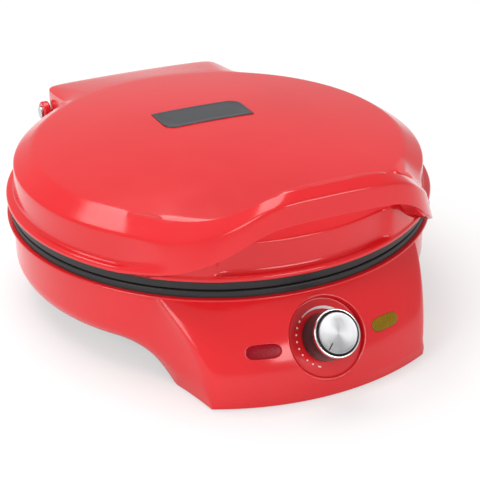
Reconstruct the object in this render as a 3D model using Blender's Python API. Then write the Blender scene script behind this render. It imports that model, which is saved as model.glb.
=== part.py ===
"""Countertop electric pizza maker: two baking plates in a hinged round case.

Lengths are in metres. The front faces -Y, the hinge is at the back and the
table is at z = 0. Every piece is described about the seam centre, the point
on the case's axis halfway between the two plates.
"""

import math

import bmesh
import bpy
from mathutils import Matrix, Vector

# Where the seam centre lies over the part's origin
SEAM_HEIGHT = 0.0770
SEAM_CENTRE_Y = 0.0090

# General sizes
FIT = 0.0003
RUNNING_FIT = 0.00006
WALL = 0.0026
OVERRUN = 0.0020
SEGMENTS = 72

# Baking plates
PIZZA_RADIUS = 0.1500
RIM_WIDTH = 0.0155
LOWER_RIM_HEIGHT = 0.0050
UPPER_RIM_HEIGHT = 0.0074
SEAM_GAP = 0.0010
PLATE_THICKNESS = 0.0032
LOWER_DEPTH = 0.0100
UPPER_DEPTH = 0.0160
PLATE_DRAFT = 0.0040
COLLAR_MARGIN = 0.0040
COLLAR_DEPTH = 0.0060
STUD_RADIUS = 0.0040
STUD_DROP = 0.0220
RIM_RADIUS = PIZZA_RADIUS + RIM_WIDTH
COLLAR_RADIUS = PIZZA_RADIUS + COLLAR_MARGIN

# Lid moulding, heights over the seam
LIP_OVERHANG = 0.0030
LIP_HEIGHT = 0.0036
LIP_SOFT = 0.0012
LIP_FALL = 0.0003
FOOT_FILLET = 0.0020
LIP_STEP = 0.0070
RIDGE_HEIGHT = 0.0345
RIDGE_SOFT = 0.0020
DOME_EDGE_HEIGHT = 0.0450
BEVEL_WIDTH = 0.0160
DOME_RISE = 0.0090
LID_MOUTH_CLEARANCE = 0.0048
LIP_RADIUS = RIM_RADIUS + LIP_OVERHANG
LIP_BOTTOM = SEAM_GAP / 2 + UPPER_RIM_HEIGHT + FIT
LIP_TOP = LIP_BOTTOM + LIP_HEIGHT
SKIRT_RADIUS = LIP_RADIUS - LIP_STEP
DOME_RADIUS = SKIRT_RADIUS - BEVEL_WIDTH
LID_MOUTH_RADIUS = COLLAR_RADIUS + LID_MOUTH_CLEARANCE

# Bow handle: each long edge has its reach at the centre, its half width and
# height where it leaves the round lid, its top and how steeply it climbs
BOW_PLAN_POWER = 4
BOW_WALL = 0.0028
BOW_CORNER = 0.0044
BOW_OVERHANG = 0.0425
BOW_HALF_WIDTH = 0.1090
BOW_HEIGHT = 0.0858
BOW_FACE_HEIGHT = 0.0160
BOW_FACE_LEAN = 0.0005
BOW_FACE_SPREAD = 0.0090
BOW_TOP_RISE = 0.0054
BOW_TOP_SETBACK = 0.0074
BOW_TOP_SPREAD = 0.0075
LOWER_EDGE_START = 0.0100
BOW_REACH = SKIRT_RADIUS + BOW_OVERHANG
UPPER_EDGE = dict(
    reach=BOW_REACH - BOW_TOP_SETBACK,
    half_width=BOW_HALF_WIDTH - BOW_TOP_SPREAD,
    start_height=DOME_EDGE_HEIGHT,
    top_height=BOW_HEIGHT + BOW_TOP_RISE,
    climb_slope=0.81,
)
RIDGE_EDGE = dict(
    reach=BOW_REACH,
    half_width=BOW_HALF_WIDTH,
    start_height=RIDGE_HEIGHT,
    top_height=BOW_HEIGHT,
    climb_slope=0.878,
)
LOWER_EDGE = dict(
    reach=BOW_REACH + BOW_FACE_LEAN,
    half_width=BOW_HALF_WIDTH + BOW_FACE_SPREAD,
    start_height=LOWER_EDGE_START,
    top_height=BOW_HEIGHT - BOW_FACE_HEIGHT,
    climb_slope=0.93,
)
SLOPE_STEP_SHARE = 0.01
BOW_SHARES = (0.93, 0.86, 0.78, 0.69, 0.59, 0.48, 0.36, 0.24, 0.12)
MERGE_SHARES = (0.33, 0.67)
MERGE_ANGLE = math.radians(50)
GRIP_DEPTH = 0.0140
GRIP_END_SHARE = 0.70
GRIP_SCREW_SHARE = 0.24

# Finger recess in the lid's front wall, between two pads
RECESS_ANGLE = math.radians(23.8)
PAD_DRAFT_ANGLE = math.radians(0.5)
PAD_HEIGHT = 0.0365

# Hinge tongue of the lid
TONGUE_HALF = 0.0810
TONGUE_OVERHANG = 0.0100
TONGUE_CORNER = 0.0100
TONGUE_BOTTOM = 0.0085
TONGUE_REAR_HEIGHT = 0.0320
TONGUE_CROWN = 0.0013
TONGUE_ROOT_LIFT = 0.0030

# Hinge, on an axis along X
HINGE_CLEARANCE = 0.0185
HINGE_HEIGHT = 0.0120
EAR_RADIUS = 0.0095
EAR_THICKNESS = 0.0065
EAR_GAP = 0.0006
PIN_RADIUS = 0.0035
PIN_HEAD_RADIUS = 0.0055
PIN_HEAD_HEIGHT = 0.0015
PIN_BOSS_RADIUS = 0.0075
PIN_BOSS_LENGTH = 0.0090
HINGE_REACH = LIP_RADIUS + HINGE_CLEARANCE
TONGUE_REACH = HINGE_REACH + TONGUE_OVERHANG

# Badge on the dome
BADGE_HALF_LENGTH = 0.0374
BADGE_FRONT = 0.0135
BADGE_REAR = 0.0475
BADGE_THICKNESS = 0.0010
BADGE_CORNER = 0.0090

# Base moulding, heights under the seam
BASE_LIP_HEIGHT = 0.0015
BASE_LIP_OVERHANG = 0.0045
LEG_CLEARANCE = 0.0225
DRUM_FILLET = 0.0160
GROUND_GAP = 0.0010
DRUM_DEPTH = SEAM_HEIGHT - LEG_CLEARANCE
DRUM_RADIUS = LIP_RADIUS - BASE_LIP_OVERHANG
BASE_LIP_TOP = -(SEAM_GAP / 2 + LOWER_RIM_HEIGHT + FIT)
BASE_LIP_BOTTOM = BASE_LIP_TOP - BASE_LIP_HEIGHT

# Control block in front of the drum
PANEL_STEP = 0.0003
PANEL_BULGE = 0.0325
PANEL_POWER = 2.45
PANEL_BEVEL_HEIGHT = 0.0085
PANEL_BEVEL_DEPTH = 0.0012
CREASE_TOP_ANGLE = math.radians(38.6)
CREASE_FOOT_ANGLE = math.radians(25.5)
CREASE_POWER = 3.0
SIDE_TOP_ANGLE = math.radians(44)
SIDE_FOOT_ANGLE = math.radians(54)
SIDE_HOLLOW = 0.0040
SIDE_LIFT_SHARE = 0.42
SIDE_LIFT_POWER = 2.2
FOOT_WALL_SETBACK = 0.0210
PANEL_TOP_RADIUS = LIP_RADIUS - PANEL_STEP
PANEL_FOOT_RADIUS = PANEL_TOP_RADIUS + PANEL_BULGE
FOOT_WALL_REACH = DRUM_RADIUS - FOOT_WALL_SETBACK

# Knob and its dial recess, on an axis that leans back from the panel
KNOB_TILT = math.radians(36)
DIAL_DROP = 0.0350
DIAL_RADIUS = 0.0285
DIAL_DEPTH = 0.0028
DIAL_LIP = 0.0010
DIAL_BACKING = 0.0090
KNOB_RADIUS = 0.0177
KNOB_TOP_RADIUS = 0.0173
KNOB_HEIGHT = 0.0222
KNOB_BASE_GAP = 0.0008
KNOB_BORE_DEPTH = 0.0120
RING_WIDTH = 0.0014
RING_HEIGHT = 0.0030
RING_STAND = 0.0005
CAP_STEP = 0.0013
CAP_RISE = 0.0020
CAP_THICKNESS = 0.0016
CAP_DISH = 0.0006
POINTER_WIDTH = 0.0010
POINTER_LENGTH = 0.0060
POINTER_ANGLE = math.radians(-136)
SPINDLE_RADIUS = 0.0030

# Indicator windows beside the knob
LENS_ANGLE = math.radians(14.6)
LENS_DROP = 0.0354
LENS_HALF_LENGTH = 0.0127
LENS_HALF_HEIGHT = 0.0050
LENS_POINT = 0.0030
LENS_PROUD = 0.0004
LENS_LENGTH = 0.0090
LENS_TILT = math.radians(28)
LAMP_SIZE = (0.0150, 0.0070, 0.0080)

# Heating elements and shields
ELEMENT_SETBACK = 0.0450
ELEMENT_TUBE = 0.0034
ELEMENT_GAP_ANGLE = math.radians(24)
ELEMENT_LEG = 0.0100
ELEMENT_BEND = 0.0070
SHIELD_SETBACK = 0.0200
SHIELD_SHEET = 0.0008
SHIELD_DEPTH = 0.0150
NUT_RADIUS = 0.0060
NUT_HEIGHT = 0.0030
LEG_HOLE = 0.0060
ELEMENT_RADIUS = PIZZA_RADIUS - ELEMENT_SETBACK
SHIELD_RADIUS = PIZZA_RADIUS - SHIELD_SETBACK

# Thermostat
STAT_RADIUS = 0.0150
STAT_LENGTH = 0.0160
STAT_BRACKET_HALF = 0.0200
STAT_BRACKET_SHEET = 0.0012
BULB_RADIUS = 0.0028
BULB_HALF_LENGTH = 0.0260
BULB_SETBACK = 0.0120
BULB_REACH = COLLAR_RADIUS - BULB_SETBACK
CAPILLARY_RADIUS = 0.0010
CAPILLARY_STEPS = 4
CAPILLARY_RUN = 0.0080
CAPILLARY_BENDS = (
    (0.0090, -0.0110, -0.0345),
    (0.0240, -0.0070, -0.0280),
    (0.0400, -0.0010, -0.0200),
    (0.0450, 0.0010, -0.0080),
)

# Thermal fuses and terminal block
FUSE_RADIUS = 0.0022
FUSE_LENGTH = 0.0180
FUSE_REACH = 0.0600
BLOCK_SIZE = (0.0360, 0.0160, 0.0130)
BLOCK_REACH = 0.1000

# Bottom cover, legs, rubber feet and screws
COVER_SHEET = 0.0024
LEG_RADIUS = 0.0130
LEG_TOP_RADIUS = 0.0160
LEG_SETBACK = 0.0330
LEG_ANGLE = math.radians(43.5)
PAD_RADIUS = 0.0100
PAD_TAPER = 0.0008
PAD_THICKNESS = 0.0030
FOOT_PAD_SETBACK = 0.0192
FOOT_PAD_ANGLE = math.radians(21)
VENT_LENGTH = 0.0500
VENT_WIDTH = 0.0030
VENT_PITCH = 0.0090
VENT_COUNT = 5
BOSS_RADIUS = 0.0055
BOSS_SETBACK = 0.0230
BOSS_HEIGHT = 0.0160
BOSS_RIB = 0.0030
SCREW_RADIUS = 0.0018
SCREW_HEAD_RADIUS = 0.0035
SCREW_HEAD_HEIGHT = 0.0020
SCREW_LENGTH = 0.0120
BOSS_ANGLES = (math.radians(70), math.radians(158), math.radians(202), math.radians(290))
CONTROL_BOSS_X = 0.0550
CONTROL_BOSS_LEAD = 0.0050
REST_X = 0.0200
REST_SETBACK = 0.0068
REST_RADIUS = 0.0045
SCREW_HEAD_TAPER = 0.0014
BOSS_REACH = DRUM_RADIUS - BOSS_SETBACK
LEG_REACH = DRUM_RADIUS - LEG_SETBACK
LEG_X = LEG_REACH * math.sin(LEG_ANGLE)
LEG_Y = LEG_REACH * math.cos(LEG_ANGLE)
FOOT_PAD_REACH = PANEL_FOOT_RADIUS - FOOT_PAD_SETBACK
FOOT_PAD_X = FOOT_PAD_REACH * math.sin(FOOT_PAD_ANGLE)
FOOT_PAD_Y = -FOOT_PAD_REACH * math.cos(FOOT_PAD_ANGLE)
CONTROL_BOSS_Y = -FOOT_WALL_REACH - CONTROL_BOSS_LEAD
REST_Y = REST_SETBACK - PANEL_FOOT_RADIUS

# Cord inlet in the rear wall
INLET_DROP = 0.0380
INLET_RADIUS = 0.0075
INLET_BORE = 0.0040
INLET_FLANGE = 0.0110
INLET_FLANGE_HEIGHT = 0.0025

DOME_SHARES = (0.33, 0.67, 0.88)


def clear_scene():
    for item in list(bpy.data.objects):
        bpy.data.objects.remove(item, do_unlink=True)


def look(name, colour, metallic, roughness):
    material = bpy.data.materials.new(name)
    material.use_nodes = True
    shader = material.node_tree.nodes["Principled BSDF"]
    shader.inputs["Base Color"].default_value = (*colour, 1)
    shader.inputs["Metallic"].default_value = metallic
    shader.inputs["Roughness"].default_value = roughness
    return material


def empty(name, matrix, parent=None):
    item = bpy.data.objects.new(name, None)
    bpy.context.collection.objects.link(item)
    item.parent = parent
    item.matrix_basis = matrix
    return item


def add_object(name, shape, material, parent, to_parent=None):
    """Makes an object of vertices and faces given in the seam's frame."""
    vertices, faces = shape
    if to_parent is not None:
        vertices = [to_parent @ Vector(v) for v in vertices]
    mesh = bpy.data.meshes.new(name)
    mesh.from_pydata([tuple(v) for v in vertices], [], faces)
    form = bmesh.new()
    form.from_mesh(mesh)
    bmesh.ops.recalc_face_normals(form, faces=form.faces)
    form.to_mesh(mesh)
    form.free()
    mesh.shade_smooth()
    mesh.set_sharp_from_angle(angle=math.radians(32))
    item = bpy.data.objects.new(name, mesh)
    bpy.context.collection.objects.link(item)
    item.parent = parent
    if material is not None:
        mesh.materials.append(material)
    return item


def guide(name, shape, parent, to_parent=None):
    item = add_object(name, shape, None, parent, to_parent)
    item.hide_render = True
    item.display_type = "WIRE"
    return item


def combine(item, operation, other):
    modifier = item.modifiers.new(operation.lower(), "BOOLEAN")
    modifier.operation = operation
    modifier.solver = "EXACT"
    modifier.object = other


def weld(item):
    modifier = item.modifiers.new("weld", "WELD")
    modifier.merge_threshold = FIT / 6


def joined(shapes):
    """Several closed shapes as one list of vertices and faces."""
    vertices = []
    faces = []
    for points, polygons in shapes:
        start = len(vertices)
        vertices.extend(points)
        faces.extend([start + i for i in face] for face in polygons)
    return vertices, faces


def moved(shape, matrix):
    points, faces = shape
    return [matrix @ Vector(p) for p in points], faces


def polar(radius, angle, height):
    """A point at an angle from the front, positive toward +X."""
    return Vector((radius * math.sin(angle), -radius * math.cos(angle), height))


def turned(profile, segments=SEGMENTS):
    """Turns a closed outline of (radius, height) about Z."""
    vertices = []
    rows = []
    for radius, height in profile:
        if radius == 0:
            rows.append([len(vertices)] * segments)
            vertices.append((0, 0, height))
            continue
        rows.append(list(range(len(vertices), len(vertices) + segments)))
        for i in range(segments):
            turn = math.tau * i / segments
            vertices.append((radius * math.cos(turn), radius * math.sin(turn), height))
    return vertices, strips(rows, closed_rows=True, closed_columns=True)


def strips(rows, closed_rows, closed_columns):
    """Faces between neighbouring rows of vertex numbers, without repeats."""
    faces = []
    row_pairs = list(zip(rows, rows[1:]))
    if closed_rows:
        row_pairs.append((rows[-1], rows[0]))
    for low, high in row_pairs:
        count = len(low)
        for i in range(count if closed_columns else count - 1):
            j = (i + 1) % count
            face = list(dict.fromkeys((low[i], low[j], high[j], high[i])))
            if len(face) > 2:
                faces.append(face)
    return faces


def prism(outline, low, high):
    """A flat outline of (x, y) points between two heights."""
    count = len(outline)
    points = [(x, y, low) for x, y in outline] + [(x, y, high) for x, y in outline]
    faces = [list(range(count))[::-1], list(range(count, 2 * count))]
    for i in range(count):
        j = (i + 1) % count
        faces.append([i, j, count + j, count + i])
    return points, faces


def block(size, centre):
    half = [s / 2 for s in size]
    x, y = half[0], half[1]
    shape = prism([(-x, -y), (x, -y), (x, y), (-x, y)], -half[2], half[2])
    return moved(shape, Matrix.Translation(centre))


def rod(radius, low, high, segments=20):
    return turned([(0, low), (radius, low), (radius, high), (0, high)], segments)


def bore(radius, low, high, segments=20):
    """A rod whose flats clear a round pin of this radius."""
    return rod(radius / math.cos(math.pi / segments), low, high, segments)


def along_x(x, reach, height):
    """Places a shape that was turned about Z on an axis along X."""
    return Matrix.Translation((x, reach, height)) @ Matrix.Rotation(math.radians(90), 4, "Y")


def tube(path, radius, sides=8):
    """A round tube along a path, with flat ends."""
    path = [Vector(p) for p in path]
    rows = []
    vertices = []
    across = None
    for i, point in enumerate(path):
        ahead = path[min(i + 1, len(path) - 1)] - path[max(i - 1, 0)]
        ahead.normalize()
        if across is None:
            across = ahead.orthogonal().normalized()
        across = (across - ahead * across.dot(ahead)).normalized()
        beside = ahead.cross(across)
        rows.append(list(range(len(vertices), len(vertices) + sides)))
        for k in range(sides):
            turn = math.tau * k / sides
            vertices.append(point + radius * (across * math.cos(turn) + beside * math.sin(turn)))
    faces = strips(rows, closed_rows=False, closed_columns=True)
    return vertices, faces + [rows[0][::-1], rows[-1]]


def mix(a, b, share):
    return a + (b - a) * share


def spline(before, start, end, after, share):
    """A point between two points of a smooth curve through four."""
    s = share
    return 0.5 * (
        2 * start
        + (end - before) * s
        + (2 * before - 5 * start + 4 * end - after) * s**2
        + (3 * start - before - 3 * end + after) * s**3
    )


# The lid's moulding

ROWS = 9


def softened(first, corner, last, soft):
    """Three points that round a corner between two straight runs."""
    enter = corner + (first - corner).normalized() * soft
    leave = corner + (last - corner).normalized() * soft
    return [enter, (enter + 2 * corner + leave) / 4, leave]


def bevel_slope():
    return (DOME_EDGE_HEIGHT - RIDGE_HEIGHT) / BEVEL_WIDTH


def round_profile():
    """Radius and height of the round lid's skin, from dome edge to lip."""
    edge = Vector((DOME_RADIUS, DOME_EDGE_HEIGHT))
    ridge = Vector((SKIRT_RADIUS, RIDGE_HEIGHT))
    foot = Vector((SKIRT_RADIUS, LIP_TOP + FOOT_FILLET))
    return [
        edge,
        *softened(edge, ridge, foot, RIDGE_SOFT),
        foot,
        Vector((SKIRT_RADIUS + FOOT_FILLET, LIP_TOP + LIP_FALL)),
        Vector((LIP_RADIUS - LIP_SOFT, LIP_TOP)),
        Vector((LIP_RADIUS, LIP_TOP - LIP_SOFT)),
        Vector((LIP_RADIUS, LIP_BOTTOM)),
    ]


def pad_profile():
    """The same rows where a pad fills the step over the lip."""
    skin = round_profile()
    radius = LIP_RADIUS - LIP_SOFT
    top = Vector((radius, PAD_HEIGHT))
    foot = Vector((radius, LIP_TOP + 2 * FOOT_FILLET))
    middle = Vector((radius, LIP_TOP + FOOT_FILLET))
    return [skin[0], *softened(skin[0], top, foot, RIDGE_SOFT), foot, middle, *skin[6:]]


def on_circle(profile, angles):
    return [polar(p.x, angle, p.y) for p, angle in zip(profile, angles)]


def degrees_list(edge, ridge, foot, step, lip):
    """Angles of one column of the skin, row by row."""
    shares = (edge, ridge, ridge, ridge, foot, step, lip, lip, lip)
    return [math.radians(value) for value in shares]


PAD_END_ANGLES = degrees_list(31, 28.5, 37.5, 38.2, 38.5)
PAST_PAD_ANGLES = degrees_list(33, 30.5, 39, 39.3, 39.6)
CROTCH_ANGLES = degrees_list(40.5, 38, 40.2, 40.4, 41)


def tongue_outline(inset):
    """Half of the tongue's outline in plan, from its root to its middle."""
    half = TONGUE_HALF - inset
    reach = TONGUE_REACH - inset
    corner = TONGUE_CORNER - inset / 2
    root = math.sqrt(LIP_RADIUS**2 - TONGUE_HALF**2) + 2 * FOOT_FILLET
    bend = corner * (1 - math.sqrt(0.5))
    side = [(half, mix(root, reach - corner, share)) for share in (0, 0.5, 1)]
    rear = [((half - corner) * share, reach) for share in (1, 0.66, 0.33, 0)]
    return side + [(half - bend, reach - bend)] + rear


def tongue_height(x, reach):
    """The tongue's top edge falls from the lid's ridge to the rear."""
    root = math.sqrt(SKIRT_RADIUS**2 - TONGUE_HALF**2)
    fall = min(max((reach - root) / (TONGUE_REACH - TONGUE_CORNER - root), 0), 1)
    crown = TONGUE_CROWN * (1 - (x / TONGUE_HALF) ** 2)
    return mix(RIDGE_HEIGHT + TONGUE_ROOT_LIFT, TONGUE_REAR_HEIGHT, fall) + crown


def root_angles(profile):
    return [math.pi - math.asin(TONGUE_HALF / p.x) for p in profile]


ROUND_STEPS = 17
TONGUE_EDGE_SHARES = (0.92, 0.83, 0.75, 0.70, 0.66, 0.44, 0.22, 0)


def lid_columns():
    """Skin points, column by column, from the recess's middle to the tongue's.

    Each column has its outer rows, then the inner wall's three points.
    """
    skin = round_profile()
    pad = pad_profile()
    columns = []
    for share in (1 / 7, 3 / 7, 5 / 7, 1):
        columns.append(on_circle(skin, [RECESS_ANGLE * share] * ROWS))
    start = [RECESS_ANGLE + PAD_DRAFT_ANGLE] * ROWS
    for share in (0, 1 / 3, 2 / 3, 1):
        angles = [mix(a, b, share) for a, b in zip(start, PAD_END_ANGLES)]
        columns.append(on_circle(pad, angles))
    columns.append(on_circle(skin, PAST_PAD_ANGLES))
    columns.append(on_circle(skin, CROTCH_ANGLES))
    roots = root_angles(skin)
    for step in range(ROUND_STEPS + 1):
        share = step / ROUND_STEPS
        angles = [mix(MERGE_ANGLE, root, share) for root in roots]
        column = on_circle(skin, angles)
        lift = TONGUE_ROOT_LIFT * max(0, 4 * share - 3) ** 2
        for row in (1, 2, 3):
            column[row].z += lift
        columns.append(column)
    outline = tongue_outline(0)
    edge_root = math.pi - roots[0]
    for (x, reach), edge_share in zip(outline, TONGUE_EDGE_SHARES):
        edge = polar(DOME_RADIUS, math.pi - edge_root * edge_share, DOME_EDGE_HEIGHT)
        top = Vector((x, reach, tongue_height(x, reach)))
        foot = Vector((x, reach, TONGUE_BOTTOM))
        rim = softened(edge, top, foot, RIDGE_SOFT)
        wall = [mix(rim[2], foot, share) for share in (0.5, 0.75, 0.85, 0.93, 1)]
        columns.append([edge, *rim, *wall])
    return columns


def inner_columns(columns):
    """The three inner points of each column: mouth, shoulder, dome edge."""
    slope = bevel_slope()
    lean = math.sqrt(1 + slope**2)
    edge_radius = DOME_RADIUS - WALL * slope / 3
    shoulder = DOME_EDGE_HEIGHT - (LID_MOUTH_RADIUS - DOME_RADIUS) * slope - WALL * lean
    edge_height = DOME_EDGE_HEIGHT - WALL
    outline = tongue_outline(WALL)
    first_tongue = len(columns) - len(outline)
    inner = []
    for i, column in enumerate(columns):
        edge_angle = math.atan2(column[0].x, -column[0].y)
        edge = polar(edge_radius, edge_angle, edge_height)
        if i < first_tongue:
            lip_angle = math.atan2(column[-1].x, -column[-1].y)
            mouth = polar(LID_MOUTH_RADIUS, lip_angle, LIP_BOTTOM)
            top = polar(LID_MOUTH_RADIUS, lip_angle, shoulder)
        else:
            x, reach = outline[i - first_tongue]
            mouth = Vector((x, reach, TONGUE_BOTTOM))
            top = Vector((x, reach, column[2].z - WALL * lean))
        inner.append([mouth, top, edge])
    return inner


def bow_edge(edge, join_radius, share):
    """A point of one of the bow's long edges, at a share of its half width."""
    half_width = edge["half_width"]
    top = edge["top_height"]
    join = math.sqrt(join_radius**2 - half_width**2)
    reach = edge["reach"] - (edge["reach"] - join) * abs(share) ** BOW_PLAN_POWER
    climb = edge["start_height"] + edge["climb_slope"] * half_width * (1 - abs(share))
    height = (top + climb) / 2 - math.hypot((climb - top) / 2, BOW_CORNER)
    return Vector((half_width * share, -reach, height))


def bow_lines(share):
    return [
        bow_edge(UPPER_EDGE, DOME_RADIUS, share),
        bow_edge(RIDGE_EDGE, SKIRT_RADIUS, share),
        bow_edge(LOWER_EDGE, LIP_RADIUS, share),
    ]


def bow_direction(share):
    """Which way the bow's ridge runs at a share of its half width."""
    ahead = bow_lines(share + SLOPE_STEP_SHARE)[1]
    behind = bow_lines(share - SLOPE_STEP_SHARE)[1]
    return (ahead - behind).normalized()


def bow_inset(share, depth):
    """The bow's three lines moved inward by a depth, square to its faces."""
    upper, ridge, lower = bow_lines(share)
    along = bow_direction(share)
    top_out = along.cross(upper - ridge).normalized()
    front_out = (lower - ridge).cross(along).normalized()
    corner = (top_out + front_out) / (1 + top_out.dot(front_out))
    return [upper - top_out * depth, ridge - corner * depth, lower - front_out * depth]


def bow_rows(lines, soft):
    upper, ridge, lower = lines
    rim = softened(upper, ridge, lower, soft)
    face = [mix(rim[2], lower, share) for share in (0.55, 0.72, 0.84, 0.94, 1)]
    return [upper, *rim, *face]


def bow_shares():
    right = list(BOW_SHARES)
    return right + [0] + [-share for share in reversed(right)]


def mirrored(points):
    return [Vector((-p.x, p.y, p.z)) for p in points]


def lid_shape():
    """The lid's moulding as one closed skin with the bow looped in front."""
    half = lid_columns()
    half_inner = inner_columns(half)
    columns = half + [mirrored(c) for c in reversed(half[:-1])]
    inner = half_inner + [mirrored(c) for c in reversed(half_inner[:-1])]
    count = len(columns)
    crotch = 9
    merge = 10
    vertices = []

    def place(points):
        start = len(vertices)
        vertices.extend(points)
        return list(range(start, start + len(points)))

    outer_rows = [place(column) for column in columns]
    inner_rows = [place(column) for column in inner]
    dome_rows = []
    ceiling_rows = []
    for column in columns:
        angle = math.atan2(column[0].x, -column[0].y)
        dome = []
        ceiling = []
        for share in DOME_SHARES:
            height = DOME_EDGE_HEIGHT + DOME_RISE * (1 - share**2)
            dome.append(polar(DOME_RADIUS * share, angle, height))
        share = DOME_SHARES[1]
        height = DOME_EDGE_HEIGHT + DOME_RISE * (1 - share**2) - WALL
        ceiling.append(polar(DOME_RADIUS * share, angle, height))
        dome_rows.append(place(dome))
        ceiling_rows.append(place(ceiling))
    top = place([Vector((0, 0, DOME_EDGE_HEIGHT + DOME_RISE))])[0]
    under = place([Vector((0, 0, DOME_EDGE_HEIGHT + DOME_RISE - WALL))])[0]

    faces = []
    left_merge = count - 1 - merge
    for i in range(count):
        j = (i + 1) % count
        chain_i = [top, *dome_rows[i], outer_rows[i][0]]
        chain_j = [top, *dome_rows[j], outer_rows[j][0]]
        faces.extend(ladder(chain_i, chain_j))
        if i not in (crotch, left_merge):
            faces.extend(ladder(outer_rows[i], outer_rows[j]))
        chain_i = [outer_rows[i][-1], *inner_rows[i], ceiling_rows[i][0], under]
        chain_j = [outer_rows[j][-1], *inner_rows[j], ceiling_rows[j][0], under]
        faces.extend(ladder(chain_i, chain_j))

    shares = bow_shares()
    outer_bow = [bow_rows(bow_lines(share), RIDGE_SOFT) for share in shares]
    inner_bow = [bow_rows(bow_inset(share, BOW_WALL), FIT) for share in shares]
    right = merging(columns[merge + 1], columns[merge], outer_bow[0], outer_bow[1])
    left = merging(
        columns[left_merge - 1], columns[left_merge], outer_bow[-1], outer_bow[-2]
    )
    right_merge_rows = [place(points) for points in right]
    left_merge_rows = [place(points) for points in left]
    bow_outer = [place(points) for points in outer_bow]
    bow_inner = [place(points) for points in inner_bow]

    outer_chain = [
        outer_rows[merge],
        *right_merge_rows,
        *bow_outer,
        *reversed(left_merge_rows),
        outer_rows[left_merge],
    ]
    for one, other in zip(outer_chain, outer_chain[1:]):
        faces.extend(ladder(one, other))
    inner_chain = [outer_rows[crotch], *bow_inner, outer_rows[count - 1 - crotch]]
    for one, other in zip(inner_chain, inner_chain[1:]):
        faces.extend(ladder(one, other))
    for row in (0, ROWS - 1):
        for i in range(len(bow_outer) - 1):
            faces.append(
                [bow_outer[i][row], bow_outer[i + 1][row], bow_inner[i + 1][row], bow_inner[i][row]]
            )
        faces.append(
            [outer_rows[merge][row]]
            + [points[row] for points in right_merge_rows]
            + [bow_outer[0][row], bow_inner[0][row], outer_rows[crotch][row]]
        )
        faces.append(
            [outer_rows[left_merge][row]]
            + [points[row] for points in left_merge_rows]
            + [bow_outer[-1][row], bow_inner[-1][row], outer_rows[count - 1 - crotch][row]]
        )
    return vertices, faces


def merging(before, start, end, after):
    """Columns that carry the round skin over into the bow."""
    columns = []
    for share in MERGE_SHARES:
        points = [spline(a, b, c, d, share) for a, b, c, d in zip(before, start, end, after)]
        columns.append(points)
    return columns


def ladder(one, other):
    """Faces between two chains of vertex numbers."""
    faces = []
    for i in range(len(one) - 1):
        face = list(dict.fromkeys((one[i], one[i + 1], other[i + 1], other[i])))
        if len(face) > 2:
            faces.append(face)
    return faces


def grip_cover_shape():
    """The inner half of the handle, which closes the bow's moulding."""
    shares = [s for s in bow_shares() if abs(s) <= GRIP_END_SHARE]
    vertices = []
    rows = []
    for share in shares:
        upper, ridge, lower = bow_inset(share, BOW_WALL + FIT)
        along = bow_direction(share)
        inward = Vector((-along.y, along.x, 0)).normalized()
        top_depth = GRIP_DEPTH - (upper - ridge).dot(inward)
        section = [upper, ridge, lower, lower + inward * GRIP_DEPTH]
        section.append(upper + inward * top_depth)
        rows.append(list(range(len(vertices), len(vertices) + len(section))))
        vertices.extend(section)
    faces = strips(rows, closed_rows=False, closed_columns=True)
    return vertices, faces + [rows[0][::-1], rows[-1]]


def dome_height(x, y):
    share = math.hypot(x, y) / DOME_RADIUS
    return DOME_EDGE_HEIGHT + DOME_RISE * (1 - share**2)


def badge_shape():
    """A thin plate that follows the dome, with two opposite round corners."""
    steps = 16
    rows = []
    vertices = []
    for i in range(steps + 1):
        x = BADGE_HALF_LENGTH * (2 * i / steps - 1)
        into = BADGE_CORNER - min(x + BADGE_HALF_LENGTH, BADGE_CORNER)
        front = BADGE_FRONT + BADGE_CORNER - math.sqrt(BADGE_CORNER**2 - into**2)
        into = BADGE_CORNER - min(BADGE_HALF_LENGTH - x, BADGE_CORNER)
        rear = BADGE_REAR - BADGE_CORNER + math.sqrt(BADGE_CORNER**2 - into**2)
        section = []
        for y, lift in ((front, FIT), (rear, FIT), (rear, BADGE_THICKNESS), (front, BADGE_THICKNESS)):
            section.append(Vector((x, y, dome_height(x, y) + lift)))
        rows.append(list(range(len(vertices), len(vertices) + 4)))
        vertices.extend(section)
    faces = strips(rows, closed_rows=False, closed_columns=True)
    return vertices, faces + [rows[0][::-1], rows[-1]]


# The base's moulding

WALL_SHARES = (0, 0.16, 0.32, 0.48, 0.64, 0.80, 0.90, 1)
FILLET_STEPS = 4
DRUM_STEPS = 17
PANEL_STEPS = 6
DIAL_STEPS = 48
SIDE_SHARES = (0.15, 0.30, SIDE_LIFT_SHARE, 0.46, 0.52, 0.60, 0.70, 0.84)


def panel_radius(height):
    foot = -(SEAM_HEIGHT - GROUND_GAP)
    fall = (BASE_LIP_BOTTOM - height) / (BASE_LIP_BOTTOM - foot)
    bulge = 1 - (1 - fall) ** PANEL_POWER
    return mix(PANEL_TOP_RADIUS, PANEL_FOOT_RADIUS, bulge)


def panel_rows():
    """Radius and height of the control panel's skin, top to foot."""
    foot = -(SEAM_HEIGHT - GROUND_GAP)
    bevel = foot + PANEL_BEVEL_HEIGHT
    rows = []
    for share in WALL_SHARES[:-1]:
        height = mix(BASE_LIP_BOTTOM, bevel, share / WALL_SHARES[-2])
        rows.append((panel_radius(height), height))
    rows.append((PANEL_FOOT_RADIUS - PANEL_BEVEL_DEPTH, foot))
    return rows


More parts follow.
